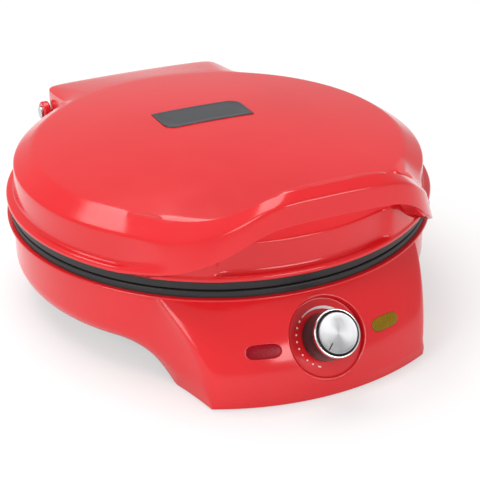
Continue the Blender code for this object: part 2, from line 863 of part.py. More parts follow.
def drum_rows():
    """Radius and height of the drum's skin, top to its bottom edge."""
    centre_height = DRUM_FILLET - DRUM_DEPTH
    rows = []
    straight = len(WALL_SHARES) - FILLET_STEPS - 1
    for i in range(straight):
        rows.append((DRUM_RADIUS, mix(BASE_LIP_BOTTOM, centre_height, i / straight)))
    for i in range(FILLET_STEPS + 1):
        turn = math.radians(90) * i / FILLET_STEPS
        radius = DRUM_RADIUS - DRUM_FILLET * (1 - math.cos(turn))
        rows.append((radius, centre_height - DRUM_FILLET * math.sin(turn)))
    return rows


def crease_angle(row_share):
    return mix(CREASE_FOOT_ANGLE, CREASE_TOP_ANGLE, (1 - row_share) ** CREASE_POWER)


def housing_columns():
    """Outer wall points of half the housing, from the panel to the back."""
    panel = panel_rows()
    drum = drum_rows()
    last = len(panel) - 1
    columns = []
    for step in range(PANEL_STEPS + 1):
        column = []
        for i, (radius, height) in enumerate(panel):
            angle = crease_angle(i / last) * step / PANEL_STEPS
            column.append(polar(radius, angle, height))
        columns.append(column)
    crease = columns[-1]
    joint = []
    for i, (radius, height) in enumerate(drum):
        joint.append(polar(radius, mix(SIDE_TOP_ANGLE, SIDE_FOOT_ANGLE, i / last), height))
    for share in SIDE_SHARES:
        rise = max(0, (share - SIDE_LIFT_SHARE) / (1 - SIDE_LIFT_SHARE))
        lift = 1 - (1 - rise) ** SIDE_LIFT_POWER
        column = []
        for one, other in zip(crease, joint):
            point = mix(one, other, share)
            run = (other - one).to_2d()
            inward = Vector((run.y, -run.x)).normalized()
            if inward.dot(point.to_2d()) > 0:
                inward = -inward
            hollow = SIDE_HOLLOW * 4 * share * (1 - share)
            point.x += inward.x * hollow
            point.y += inward.y * hollow
            point.z = mix(one.z, other.z, lift)
            column.append(point)
        columns.append(column)
    for step in range(DRUM_STEPS + 1):
        column = []
        for i, (radius, height) in enumerate(drum):
            start = mix(SIDE_TOP_ANGLE, SIDE_FOOT_ANGLE, i / last)
            angle = mix(start, math.pi, step / DRUM_STEPS)
            column.append(polar(radius, angle, height))
        columns.append(column)
    return columns


def inner_wall(columns):
    """Each wall point moved inward by the wall, square to the skin."""
    count = len(columns)
    inner = []
    for i, column in enumerate(columns):
        before = columns[(i - 1) % count]
        after = columns[(i + 1) % count]
        points = []
        for k, point in enumerate(column):
            down = column[min(k + 1, len(column) - 1)] - column[max(k - 1, 0)]
            along = after[k] - before[k]
            outward = down.cross(along).normalized()
            if outward.to_2d().dot(point.to_2d()) < 0 and k < len(column) - 2:
                outward = -outward
            points.append(point - outward * WALL)
        inner.append(points)
    return inner


def full_round(half):
    return half + [mirrored(c) for c in reversed(half[1:-1])]


def housing_shape():
    columns = full_round(housing_columns())
    inner = inner_wall(columns)
    vertices = []
    rows = []
    for column, inside in zip(columns, inner):
        angle = math.atan2(column[0].x, -column[0].y)
        mouth = DRUM_RADIUS - WALL
        points = [
            polar(mouth, angle, BASE_LIP_TOP),
            polar(LIP_RADIUS, angle, BASE_LIP_TOP),
            polar(LIP_RADIUS, angle, BASE_LIP_BOTTOM),
            *column,
            *reversed(inside),
        ]
        rows.append(list(range(len(vertices), len(vertices) + len(points))))
        vertices.extend(points)
    return vertices, strips(rows, closed_rows=True, closed_columns=True)


def ear_outline():
    """Side view of a hinge ear as (reach, height) points about the seam."""
    root = math.sqrt(DRUM_RADIUS**2 - (TONGUE_HALF + EAR_THICKNESS) ** 2)
    base = root - 2 * WALL
    shoulder = HINGE_REACH - EAR_RADIUS - 2 * PIN_RADIUS
    points = [
        (base, -DRUM_DEPTH + 2 * DRUM_FILLET),
        (root + EAR_RADIUS, -DRUM_DEPTH + 2 * DRUM_FILLET),
    ]
    for i in range(13):
        turn = math.radians(-50 + 220 * i / 12)
        points.append((HINGE_REACH + EAR_RADIUS * math.cos(turn), HINGE_HEIGHT + EAR_RADIUS * math.sin(turn)))
    points.append((shoulder, BASE_LIP_TOP - FIT))
    points.append((base, BASE_LIP_TOP - FIT))
    return points


def ear_shape(side):
    """An ear beside the tongue; its outline lies square to X."""
    low = TONGUE_HALF + EAR_GAP
    shape = prism(ear_outline(), low, low + EAR_THICKNESS)
    turn = Matrix(((0, 0, side, 0), (1, 0, 0, 0), (0, 1, 0, 0), (0, 0, 0, 1)))
    return moved(shape, turn)


def dial_reach():
    """The dial recess lies on a chord of the bulging panel."""
    half = DIAL_RADIUS * math.cos(KNOB_TILT)
    return (panel_radius(half - DIAL_DROP) + panel_radius(-half - DIAL_DROP)) / 2


def knob_frame():
    """The knob's axis as +Z, from the middle of the dial recess's rim."""
    place = Matrix.Translation((0, -dial_reach(), -DIAL_DROP))
    return place @ Matrix.Rotation(math.radians(90) - KNOB_TILT, 4, "X")


def panel_lift(x, y):
    """How far along the knob's axis a line beside it meets the panel."""
    place = knob_frame()
    low = -DIAL_RADIUS
    high = DIAL_RADIUS
    for _ in range(24):
        middle = (low + high) / 2
        spot = place @ Vector((x, y, middle))
        if math.hypot(spot.x, spot.y) < panel_radius(spot.z):
            low = middle
        else:
            high = middle
    return low


def dial_cup_shape():
    """The cup behind the dial recess, as high as the panel around it."""
    radius = DIAL_RADIUS + WALL
    low = []
    high = []
    for i in range(DIAL_STEPS):
        turn = math.tau * i / DIAL_STEPS
        x = radius * math.cos(turn)
        y = radius * math.sin(turn)
        low.append((x, y, -DIAL_BACKING))
        high.append((x, y, max(panel_lift(x, y) - WALL / 2, DIAL_LIP - DIAL_DEPTH)))
    vertices = low + high + [(0, 0, panel_lift(0, 0) - WALL / 2)]
    top = 2 * DIAL_STEPS
    faces = [list(range(DIAL_STEPS))[::-1]]
    for i in range(DIAL_STEPS):
        j = (i + 1) % DIAL_STEPS
        faces.append([i, j, DIAL_STEPS + j, DIAL_STEPS + i])
        faces.append([DIAL_STEPS + i, DIAL_STEPS + j, top])
    return moved((vertices, faces), knob_frame())


def lens_frame(side):
    radius = panel_radius(-LENS_DROP)
    spot = polar(radius, side * LENS_ANGLE, -LENS_DROP)
    turn = Matrix.Rotation(side * LENS_ANGLE, 4, "Z")
    lean = Matrix.Rotation(math.radians(90) - LENS_TILT, 4, "X")
    return Matrix.Translation(spot) @ turn @ lean


def lens_outline(gap):
    x = LENS_HALF_LENGTH - gap
    y = LENS_HALF_HEIGHT - gap
    cut = x - LENS_POINT
    half = y / 3
    return [(-cut, -y), (cut, -y), (x, -half), (x, half), (cut, y), (-cut, y), (-x, half), (-x, -half)]


def boss_place(angle):
    return polar(BOSS_REACH, angle, 0)


def cover_top():
    return -DRUM_DEPTH + WALL + COVER_SHEET


def housing_additions():
    wall_x = 2 * panel_side_x() - WALL
    foot = -(SEAM_HEIGHT - GROUND_GAP)
    top = cover_top()
    shapes = [
        block((wall_x, WALL, top - foot), (0, -FOOT_WALL_REACH, (top + foot) / 2)),
        ear_shape(1),
        ear_shape(-1),
        dial_cup_shape(),
    ]
    return joined(shapes)


def panel_side_x():
    """Half width of the control block's outside at its rear foot."""
    column = housing_columns()[PANEL_STEPS + 1 + SIDE_SHARES.index(SIDE_LIFT_SHARE)]
    return column[-1].x


def boss_shapes():
    low = cover_top() + FIT
    shapes = []
    for angle in BOSS_ANGLES:
        spot = boss_place(angle)
        shapes.append(moved(rod(BOSS_RADIUS, low, low + BOSS_HEIGHT), Matrix.Translation(spot)))
    low = control_cover_low() + COVER_SHEET + FIT
    for side in (-1, 1):
        for x, y in ((CONTROL_BOSS_X, CONTROL_BOSS_Y), (REST_X, REST_Y)):
            post = rod(REST_RADIUS, low, low + BOSS_HEIGHT / 2, 16)
            shapes.append(moved(post, Matrix.Translation((side * x, y, 0))))
    return joined(shapes)


def rib_shapes():
    """A rib from each boss to the drum's wall."""
    low = 3 * DRUM_FILLET / 4 - DRUM_DEPTH
    high = cover_top() + BOSS_HEIGHT - WALL
    outside = DRUM_RADIUS - WALL / 2
    size = (BOSS_RIB, outside - BOSS_REACH, high - low)
    rib = block(size, (0, -(outside + BOSS_REACH) / 2, (low + high) / 2))
    return joined([moved(rib, Matrix.Rotation(angle, 4, "Z")) for angle in BOSS_ANGLES])


def housing_cuts():
    shaft = SPINDLE_RADIUS + 2 * FIT
    dial = [
        (0, -DIAL_BACKING - OVERRUN),
        (shaft, -DIAL_BACKING - OVERRUN),
        (shaft, -DIAL_DEPTH),
        (DIAL_RADIUS, -DIAL_DEPTH),
        (DIAL_RADIUS, DIAL_RADIUS),
        (0, DIAL_RADIUS),
    ]
    shapes = [moved(turned(dial, DIAL_STEPS), knob_frame())]
    for side in (1, -1):
        shapes.append(moved(prism(lens_outline(0), -LENS_LENGTH, LENS_LENGTH), lens_frame(side)))
        low = TONGUE_HALF - EAR_THICKNESS
        hole = rod(PIN_RADIUS + FIT, low, TONGUE_HALF + 2 * EAR_THICKNESS)
        shapes.append(moved(hole, turn_to_x(side)))
    inlet = rod(INLET_RADIUS + FIT, DRUM_RADIUS - 4 * WALL, DRUM_RADIUS + OVERRUN, 24)
    shapes.append(moved(inlet, inlet_frame()))
    for angle in BOSS_ANGLES:
        spot = boss_place(angle)
        low = cover_top() - OVERRUN
        hole = rod(SCREW_RADIUS + FIT, low, cover_top() + SCREW_LENGTH, 12)
        shapes.append(moved(hole, Matrix.Translation(spot)))
    for side in (-1, 1):
        low = control_cover_low()
        hole = rod(SCREW_RADIUS + FIT, low, low + SCREW_LENGTH / 2 + WALL, 12)
        shapes.append(moved(hole, Matrix.Translation((side * CONTROL_BOSS_X, CONTROL_BOSS_Y, 0))))
    return joined(shapes)


def turn_to_x(side):
    """Places a shape turned about Z on the hinge axis, outward along X."""
    turn = Matrix.Rotation(side * math.radians(90), 4, "Y")
    return Matrix.Translation((0, HINGE_REACH, HINGE_HEIGHT)) @ turn


def inlet_frame():
    """Outward along +Y at the back of the drum becomes +Z."""
    turn = Matrix.Rotation(math.radians(-90), 4, "X")
    return Matrix.Translation((0, 0, -INLET_DROP)) @ turn


# Plates, elements and shields

def plate_profile(depth, rim_height):
    """A baking plate, cavity up, with its rim's face at height 0."""
    floor = -depth
    under = floor - PLATE_THICKNESS
    return [
        (0, floor),
        (PIZZA_RADIUS - PLATE_DRAFT, floor),
        (PIZZA_RADIUS, 0),
        (RIM_RADIUS - LIP_SOFT, 0),
        (RIM_RADIUS, -LIP_SOFT),
        (RIM_RADIUS, -rim_height),
        (COLLAR_RADIUS, -rim_height),
        (COLLAR_RADIUS, under - COLLAR_DEPTH),
        (COLLAR_RADIUS - PLATE_THICKNESS, under - COLLAR_DEPTH),
        (COLLAR_RADIUS - PLATE_THICKNESS, under),
        (STUD_RADIUS, under),
        (STUD_RADIUS, under - STUD_DROP),
        (0, under - STUD_DROP),
    ]


def plate_under(depth):
    return -depth - PLATE_THICKNESS


def shield_profile(depth):
    """A shallow dish of sheet under the plate, with a hole for the stud."""
    rim = plate_under(depth) - FIT
    floor = rim - SHIELD_DEPTH
    hole = STUD_RADIUS + FIT
    inner = SHIELD_RADIUS - SHIELD_SHEET
    return [
        (hole, floor),
        (inner, floor),
        (inner, rim),
        (SHIELD_RADIUS, rim),
        (SHIELD_RADIUS, floor - SHIELD_SHEET),
        (hole, floor - SHIELD_SHEET),
    ]


def nut_profile(depth):
    top = plate_under(depth) - FIT - SHIELD_DEPTH - SHIELD_SHEET - FIT
    hole = STUD_RADIUS + FIT
    return [(hole, top), (NUT_RADIUS, top), (NUT_RADIUS, top - NUT_HEIGHT), (hole, top - NUT_HEIGHT)]


def element_path(depth):
    """An open ring under the plate whose two ends turn down."""
    height = plate_under(depth) - FIT - ELEMENT_TUBE
    start = ELEMENT_GAP_ANGLE / 2
    turns = 44
    points = []
    for i in range(turns + 1):
        angle = mix(start, math.tau - start, i / turns)
        points.append(polar(ELEMENT_RADIUS, angle, height))
    ends = []
    for tip, inner in ((points[0], points[1]), (points[-1], points[-2])):
        out = (tip - inner).normalized() * ELEMENT_BEND
        fall = Vector((0, 0, -ELEMENT_BEND))
        knee = []
        for step in range(1, 5):
            turn = math.radians(90) * step / 4
            knee.append(tip + out * math.sin(turn) + fall * (1 - math.cos(turn)))
        ends.append(knee + [knee[-1] + Vector((0, 0, -ELEMENT_LEG))])
    return ends[0][::-1] + points + ends[1]


def element_leg_places(depth):
    path = element_path(depth)
    return [path[0], path[-1]]


def shield_cutter(depth):
    shapes = []
    for leg in element_leg_places(depth):
        floor = plate_under(depth) - FIT - SHIELD_DEPTH
        hole = rod(LEG_HOLE, floor - 2 * OVERRUN, floor + OVERRUN, 16)
        shapes.append(moved(hole, Matrix.Translation((leg.x, leg.y, 0))))
    return joined(shapes)


def at_seam(side):
    """Puts a plate's stack under the seam, or over it the other way up."""
    if side < 0:
        return Matrix.Translation((0, 0, -SEAM_GAP / 2))
    return Matrix.Translation((0, 0, SEAM_GAP / 2)) @ Matrix.Rotation(math.pi, 4, "Y")


def bulb_centre():
    return Vector((0, -BULB_REACH, plate_under(LOWER_DEPTH) - SEAM_GAP / 2 - FIT - BULB_RADIUS))


def capillary_shape(depth):
    """The thin pipe from the thermostat's back to the bulb's end."""
    start = knob_frame() @ Vector((0, 0, depth))
    ahead = knob_frame() @ Vector((0, 0, depth - CAPILLARY_RUN))
    end = bulb_centre() + Vector((BULB_HALF_LENGTH + FIT, 0, 0))
    run = Vector((CAPILLARY_RUN, 0, 0))
    bends = [bulb_centre() + Vector(offset) for offset in CAPILLARY_BENDS]
    points = [2 * start - ahead, start, ahead, *bends, end + run, end, end - run]
    path = []
    for i in range(1, len(points) - 2):
        for step in range(CAPILLARY_STEPS):
            share = step / CAPILLARY_STEPS
            path.append(spline(*points[i - 1 : i + 3], share))
    path.append(end)
    return tube(path, CAPILLARY_RADIUS, 6)


def fuse_shape(depth):
    height = plate_under(depth) - FIT - FUSE_RADIUS
    shape = rod(FUSE_RADIUS, -FUSE_LENGTH / 2, FUSE_LENGTH / 2, 12)
    return moved(shape, along_x(0, FUSE_REACH, height))


# Bottom covers and feet

def inner_outline(height, front_limit, rear_limit, gap):
    """Inside of the housing's wall at a height, between two reaches."""
    columns = full_round(housing_columns())
    outline = []
    for inside in inner_wall(columns):
        spot = inside[-1]
        for one, other in zip(inside, inside[1:]):
            if min(one.z, other.z) <= height <= max(one.z, other.z) and one.z != other.z:
                spot = mix(one, other, (height - one.z) / (other.z - one.z))
                break
        flat = spot.to_2d()
        flat -= flat.normalized() * gap
        outline.append(flat)
    return clipped(clipped(outline, front_limit, 1), rear_limit, -1)


def clipped(outline, limit, keep):
    """The part of an outline on one side of a line along X."""
    result = []
    for one, other in zip(outline, outline[1:] + outline[:1]):
        inside = (one.y - limit) * keep >= 0
        if inside:
            result.append(one)
        if inside != ((other.y - limit) * keep >= 0):
            result.append(mix(one, other, (limit - one.y) / (other.y - one.y)))
    return result


def bottom_cover_shape():
    low = -DRUM_DEPTH + WALL
    rear_of_wall = -FOOT_WALL_REACH + WALL / 2 + FIT
    outline = inner_outline(low, rear_of_wall, LIP_RADIUS, 2 * FIT)
    return prism(outline, low, cover_top())


def bottom_cover_cuts():
    shapes = []
    for side in (-1, 1):
        for i in range(VENT_COUNT):
            y = VENT_PITCH * (i - (VENT_COUNT - 1) / 2)
            x = side * (VENT_LENGTH / 2 + LEG_TOP_RADIUS)
            shapes.append(block((VENT_LENGTH, VENT_WIDTH, 4 * COVER_SHEET), (x, y, cover_top())))
    for angle in BOSS_ANGLES:
        spot = boss_place(angle)
        hole = rod(SCREW_RADIUS + FIT, cover_top() - 2 * COVER_SHEET, cover_top() + COVER_SHEET, 12)
        shapes.append(moved(hole, Matrix.Translation(spot)))
    return joined(shapes)


def leg_shapes():
    low = -SEAM_HEIGHT + PAD_THICKNESS
    shapes = []
    for side in (-1, 1):
        profile = [
            (0, low),
            (LEG_RADIUS, low),
            (LEG_TOP_RADIUS, cover_top() - COVER_SHEET / 2),
            (0, cover_top() - COVER_SHEET / 2),
        ]
        shapes.append(moved(turned(profile, 24), Matrix.Translation((side * LEG_X, LEG_Y, 0))))
    return joined(shapes)


def control_cover_low():
    return PAD_THICKNESS - SEAM_HEIGHT


def control_cover_shape():
    low = control_cover_low()
    front_of_wall = -FOOT_WALL_REACH - WALL / 2 - FIT
    outline = inner_outline(low, -LIP_RADIUS * 2, front_of_wall, 2 * FIT)
    return prism(outline, low, low + COVER_SHEET)


def control_screw_holes():
    low = control_cover_low() - OVERRUN
    shapes = []
    for side in (-1, 1):
        hole = rod(SCREW_RADIUS + FIT, low, low + SCREW_LENGTH, 12)
        shapes.append(moved(hole, Matrix.Translation((side * CONTROL_BOSS_X, CONTROL_BOSS_Y, 0))))
    return joined(shapes)


def screw_shape(x, y, under, length):
    """A pan-head screw from below; its head sits under a surface."""
    head = under - FIT
    profile = [
        (0, head - SCREW_HEAD_HEIGHT),
        (SCREW_HEAD_RADIUS - SCREW_HEAD_TAPER, head - SCREW_HEAD_HEIGHT),
        (SCREW_HEAD_RADIUS, head - SCREW_HEAD_HEIGHT / 2),
        (SCREW_HEAD_RADIUS, head),
        (SCREW_RADIUS, head),
        (SCREW_RADIUS, head + length),
        (0, head + length),
    ]
    return moved(turned(profile, 12), Matrix.Translation((x, y, 0)))


def pad_shape(x, y):
    top = -SEAM_HEIGHT + PAD_THICKNESS - FIT
    profile = [(0, -SEAM_HEIGHT), (PAD_RADIUS - PAD_TAPER, -SEAM_HEIGHT), (PAD_RADIUS, top), (0, top)]
    return moved(turned(profile, 20), Matrix.Translation((x, y, 0)))


# Knob

def cap_radius():
    return KNOB_TOP_RADIUS - RING_WIDTH - CAP_STEP


def knob_profiles():
    """Barrel, bezel ring and cap, turned about the knob's own axis."""
    base = -DIAL_DEPTH + KNOB_BASE_GAP
    top = base + KNOB_HEIGHT
    seat = top - RING_HEIGHT
    inner = KNOB_TOP_RADIUS - RING_WIDTH
    edge = cap_radius()
    face = top + CAP_RISE
    well = SPINDLE_RADIUS + FIT
    barrel = [
        (well, base),
        (KNOB_RADIUS - RING_STAND, base),
        (KNOB_RADIUS, base + RING_STAND),
        (KNOB_TOP_RADIUS, seat - FIT),
        (inner - FIT, seat - FIT),
        (inner - FIT, top),
        (edge, face - CAP_THICKNESS - FIT),
        (0, face - CAP_THICKNESS - FIT),
        (0, base + KNOB_BORE_DEPTH),
        (well, base + KNOB_BORE_DEPTH),
    ]
    ring = [
        (inner, seat),
        (KNOB_TOP_RADIUS, seat),
        (KNOB_TOP_RADIUS, top - RING_STAND),
        (KNOB_TOP_RADIUS - RING_STAND, top + RING_STAND),
        (inner + RING_STAND, top + RING_STAND),
        (inner, top),
    ]
    cap = [
        (0, face - CAP_THICKNESS),
        (edge, face - CAP_THICKNESS),
        (edge, face - CAP_DISH),
        (edge - CAP_DISH, face),
        (0, face - CAP_DISH),
    ]
    return barrel, ring, cap


def pointer_cutter():
    """A groove in the cap's face, from its edge toward the middle."""
    face = -DIAL_DEPTH + KNOB_BASE_GAP + KNOB_HEIGHT + CAP_RISE
    size = (POINTER_LENGTH, POINTER_WIDTH, 2 * CAP_DISH)
    groove = block(size, (cap_radius() - POINTER_LENGTH / 2, 0, face))
    return moved(groove, Matrix.Rotation(POINTER_ANGLE, 4, "Z"))


def build():
    clear_scene()
    red = look("gloss red plastic", (0.80, 0.045, 0.055), 0, 0.18)
    coat = look("non-stick coating", (0.03, 0.03, 0.033), 0.2, 0.45)
    black = look("black plastic", (0.02, 0.02, 0.022), 0, 0.4)
    steel = look("galvanised sheet", (0.55, 0.56, 0.57), 1, 0.35)
    chrome = look("bright chrome", (0.85, 0.85, 0.86), 1, 0.08)
    brushed = look("brushed aluminium", (0.72, 0.73, 0.74), 1, 0.3)
    ceramic = look("white ceramic", (0.85, 0.84, 0.80), 0, 0.5)
    rubber = look("rubber", (0.04, 0.04, 0.04), 0, 0.8)
    badge_look = look("dark badge", (0.07, 0.07, 0.08), 0.2, 0.3)
    ruby = look("red lens", (0.25, 0, 0.01), 0, 0.1)
    amber = look("amber green lens", (0.25, 0.22, 0.03), 0, 0.1)
    nichrome = look("element sheath", (0.30, 0.29, 0.28), 1, 0.4)

    seam = empty("seam_centre", Matrix.Translation((0, SEAM_CENTRE_Y, SEAM_HEIGHT)))
    hinge_place = Matrix.Translation((0, HINGE_REACH, HINGE_HEIGHT))
    lid = empty("lid_axis", hinge_place, seam)
    to_lid = hinge_place.inverted()
    knob = empty("knob_axis", knob_frame(), seam)

    # Base moulding
    housing = add_object("base_housing", housing_shape(), red, seam)
    combine(housing, "UNION", guide("join_housing", housing_additions(), seam))
    combine(housing, "UNION", guide("join_ribs", rib_shapes(), seam))
    combine(housing, "UNION", guide("join_bosses", boss_shapes(), seam))
    combine(housing, "DIFFERENCE", guide("cut_housing", housing_cuts(), seam))
    weld(housing)

    cover = add_object("base_bottom_cover", bottom_cover_shape(), black, seam)
    combine(cover, "UNION", guide("join_legs", leg_shapes(), seam))
    combine(cover, "DIFFERENCE", guide("cut_cover", bottom_cover_cuts(), seam))
    cover = add_object("control_box_cover", control_cover_shape(), black, seam)
    combine(cover, "DIFFERENCE", guide("cut_control_cover", control_screw_holes(), seam))
    for side, word in ((-1, "left"), (1, "right")):
        x = side * CONTROL_BOSS_X
        shape = screw_shape(x, CONTROL_BOSS_Y, control_cover_low(), SCREW_LENGTH / 2)
        add_object(f"control_screw_{word}", shape, steel, seam)

    for number, angle in enumerate(BOSS_ANGLES, 1):
        spot = boss_place(angle)
        under = cover_top() - COVER_SHEET
        shape = screw_shape(spot.x, spot.y, under, SCREW_LENGTH - FIT)
        add_object(f"cover_screw_{number}", shape, steel, seam)

    for side, word in ((-1, "left"), (1, "right")):
        add_object(f"rear_foot_{word}", pad_shape(side * LEG_X, LEG_Y), rubber, seam)
        lens = prism(lens_outline(FIT), -LENS_LENGTH, LENS_PROUD)
        look_of = ruby if side < 0 else amber
        name = "power" if side < 0 else "ready"
        add_object(f"{name}_lens", moved(lens, lens_frame(side)), look_of, seam)
        lamp = block(LAMP_SIZE, (0, 0, -LENS_LENGTH - FIT - LAMP_SIZE[2] / 2))
        add_object(f"{name}_lamp", moved(lamp, lens_frame(side)), ceramic, seam)
        front = pad_shape(side * FOOT_PAD_X, FOOT_PAD_Y)
        add_object(f"front_foot_{word}", front, rubber, seam)
        low = TONGUE_HALF - PIN_BOSS_LENGTH + WALL
        outside = TONGUE_HALF + EAR_GAP + EAR_THICKNESS + FIT
        profile = [
            (0, low),
            (PIN_RADIUS, low),
            (PIN_RADIUS, outside),
            (PIN_HEAD_RADIUS, outside),
            (PIN_HEAD_RADIUS, outside + PIN_HEAD_HEIGHT),
            (0, outside + PIN_HEAD_HEIGHT),
        ]
        pin = moved(turned(profile, 36), turn_to_x(side))
        add_object(f"hinge_pin_{word}", pin, steel, seam)

    inlet = turned(
        [
            (INLET_BORE, DRUM_RADIUS - 3 * WALL),
            (INLET_RADIUS, DRUM_RADIUS - 3 * WALL),
            (INLET_RADIUS, DRUM_RADIUS + FIT),
            (INLET_FLANGE, DRUM_RADIUS + FIT),
            (INLET_FLANGE, DRUM_RADIUS + INLET_FLANGE_HEIGHT),
            (INLET_BORE, DRUM_RADIUS + INLET_FLANGE_HEIGHT),
        ],
        24,
    )
    add_object("cord_inlet_bush", moved(inlet, inlet_frame()), black, seam)

    # Plates and what lies behind them
    plates = (
        (-1, "lower", LOWER_DEPTH, LOWER_RIM_HEIGHT),
        (1, "upper", UPPER_DEPTH, UPPER_RIM_HEIGHT),
    )
    for side, word, depth, rim_height in plates:
        parent = seam if side < 0 else lid
        place = None if side < 0 else to_lid
        stack = at_seam(side)
        plate = moved(turned(plate_profile(depth, rim_height)), stack)
        add_object(f"{word}_plate", plate, coat, parent, place)
        element = moved(tube(element_path(depth), ELEMENT_TUBE), stack)
        add_object(f"{word}_element", element, nichrome, parent, place)
        shield = moved(turned(shield_profile(depth), 48), stack)
        shield_item = add_object(f"{word}_reflector", shield, steel, parent, place)
        holes = moved(shield_cutter(depth), stack)
        combine(shield_item, "DIFFERENCE", guide(f"cut_{word}_reflector", holes, parent, place))
        nut = moved(turned(nut_profile(depth), 24), stack)
        add_object(f"{word}_reflector_nut", nut, steel, parent, place)
        add_object(f"{word}_thermal_fuse", moved(fuse_shape(depth), stack), ceramic, parent, place)

    block_centre = (0, BLOCK_REACH, cover_top() + FIT + BLOCK_SIZE[2] / 2)
    add_object("terminal_block", block(BLOCK_SIZE, block_centre), ceramic, seam)

    # Thermostat behind the panel
    back = -DIAL_BACKING - FIT
    half = STAT_BRACKET_HALF
    plate = prism([(-half, -half), (half, -half), (half, half), (-half, half)], back - STAT_BRACKET_SHEET, back)
    bracket = add_object("thermostat_bracket", moved(plate, knob_frame()), steel, seam)
    hole = rod(SPINDLE_RADIUS + 2 * FIT, back - 2 * OVERRUN, back + OVERRUN)
    combine(bracket, "DIFFERENCE", guide("cut_bracket", moved(hole, knob_frame()), seam))
    low = back - STAT_BRACKET_SHEET - FIT
    body = rod(STAT_RADIUS, low - STAT_LENGTH, low, 28)
    stat = add_object("thermostat_body", moved(body, knob_frame()), ceramic, seam)
    well = bore(SPINDLE_RADIUS + RUNNING_FIT, low - SPINDLE_RADIUS, low + OVERRUN, 36)
    combine(stat, "DIFFERENCE", guide("cut_thermostat", moved(well, knob_frame()), seam))
    bulb = rod(BULB_RADIUS, -BULB_HALF_LENGTH, BULB_HALF_LENGTH, 12)
    spot = bulb_centre()
    add_object("thermostat_bulb", moved(bulb, along_x(spot.x, spot.y, spot.z)), steel, seam)
    capillary = capillary_shape(low - STAT_LENGTH - FIT)
    add_object("thermostat_capillary", capillary, steel, seam)

    # Lid
    shell = add_object("lid_shell", lid_shape(), red, lid, to_lid)
    bosses = []
    for side in (-1, 1):
        boss = rod(PIN_BOSS_RADIUS, TONGUE_HALF - PIN_BOSS_LENGTH, TONGUE_HALF - WALL / 2, 24)
        bosses.append(moved(boss, turn_to_x(side)))
    combine(shell, "UNION", guide("join_pin_bosses", joined(bosses), lid, to_lid))
    holes = []
    for side in (-1, 1):
        low_end = TONGUE_HALF - 2 * PIN_BOSS_LENGTH
        hole = bore(PIN_RADIUS + RUNNING_FIT, low_end, TONGUE_HALF + OVERRUN, 36)
        holes.append(moved(hole, turn_to_x(side)))
    combine(shell, "DIFFERENCE", guide("cut_pin_holes", joined(holes), lid, to_lid))
    grip = add_object("handle_grip_cover", grip_cover_shape(), red, lid, to_lid)
    holes = []
    for share, word in ((-GRIP_SCREW_SHARE, "left"), (GRIP_SCREW_SHARE, "right")):
        edge = bow_inset(share, BOW_WALL + GRIP_DEPTH / 2)[2]
        screw = screw_shape(edge.x, edge.y, edge.z, SCREW_LENGTH)
        add_object(f"handle_screw_{word}", screw, steel, lid, to_lid)
        hole = rod(SCREW_RADIUS + FIT, -OVERRUN, SCREW_LENGTH + FIT, 12)
        holes.append(moved(hole, Matrix.Translation(edge)))
    combine(grip, "DIFFERENCE", guide("cut_grip_cover", joined(holes), lid, to_lid))
    add_object("badge_plate", badge_shape(), badge_look, lid, to_lid)

    # Knob
    barrel, ring, cap = knob_profiles()
    add_object("knob_body", turned(barrel, 48), black, knob)
    add_object("knob_ring", turned(ring, 48), chrome, knob)
    face = add_object("knob_cap", turned(cap, 48), brushed, knob)
    combine(face, "DIFFERENCE", guide("cut_pointer", pointer_cutter(), knob))
    base = -DIAL_DEPTH + KNOB_BASE_GAP
    spindle = rod(SPINDLE_RADIUS, low - SPINDLE_RADIUS + FIT, base + KNOB_BORE_DEPTH - FIT, 36)
    add_object("thermostat_spindle", spindle, steel, knob)


build()
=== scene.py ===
import math

import bmesh
import bpy
from mathutils import Matrix, Vector


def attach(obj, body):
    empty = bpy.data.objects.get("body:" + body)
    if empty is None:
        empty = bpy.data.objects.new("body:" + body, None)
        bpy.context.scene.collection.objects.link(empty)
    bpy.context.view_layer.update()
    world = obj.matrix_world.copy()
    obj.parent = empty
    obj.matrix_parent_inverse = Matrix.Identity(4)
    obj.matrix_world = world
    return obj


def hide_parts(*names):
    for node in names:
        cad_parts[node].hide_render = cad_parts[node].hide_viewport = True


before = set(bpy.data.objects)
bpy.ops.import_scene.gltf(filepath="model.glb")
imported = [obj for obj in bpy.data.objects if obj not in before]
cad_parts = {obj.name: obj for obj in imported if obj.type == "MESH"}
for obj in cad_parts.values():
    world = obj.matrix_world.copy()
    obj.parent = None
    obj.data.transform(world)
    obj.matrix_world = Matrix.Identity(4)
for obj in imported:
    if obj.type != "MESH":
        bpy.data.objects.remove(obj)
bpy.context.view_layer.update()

# Sizes in metres, about the middle of the seam between the two plates
SEAM = Vector((0, 0.0090, 0.0770))
FIT = 0.0003
WALL = 0.0026

PIZZA_RADIUS = 0.1500
RIM_RADIUS = 0.1655
LOWER_RIM_HEIGHT = 0.0050
UPPER_RIM_HEIGHT = 0.0074
SEAM_GAP = 0.0010
PLATE_THICKNESS = 0.0032
PLATE_DRAFT = 0.0040
LOWER_DEPTH = 0.0100
UPPER_DEPTH = 0.0160
COLLAR_RADIUS = 0.1540
COLLAR_DEPTH = 0.0060
PLATE_SCOOP = 0.0042
LIP_SOFT = 0.0012

LIP_RADIUS = 0.1685
LIP_BOTTOM = 0.0082
LIP_TOP = 0.0118
LIP_FALL = 0.0003
FOOT_FILLET = 0.0020
SKIRT_RADIUS = 0.1615
DOME_RADIUS = 0.1455
RIDGE_HEIGHT = 0.0345
RIDGE_SOFT = 0.0020
DOME_EDGE_HEIGHT = 0.0450
DOME_RISE = 0.0090
DOME_SHARES = (0.2, 0.4, 0.6, 0.8, 0.94)
MOUTH_RADIUS = 0.1588
BEVEL_SLOPE = (DOME_EDGE_HEIGHT - RIDGE_HEIGHT) / (SKIRT_RADIUS - DOME_RADIUS)

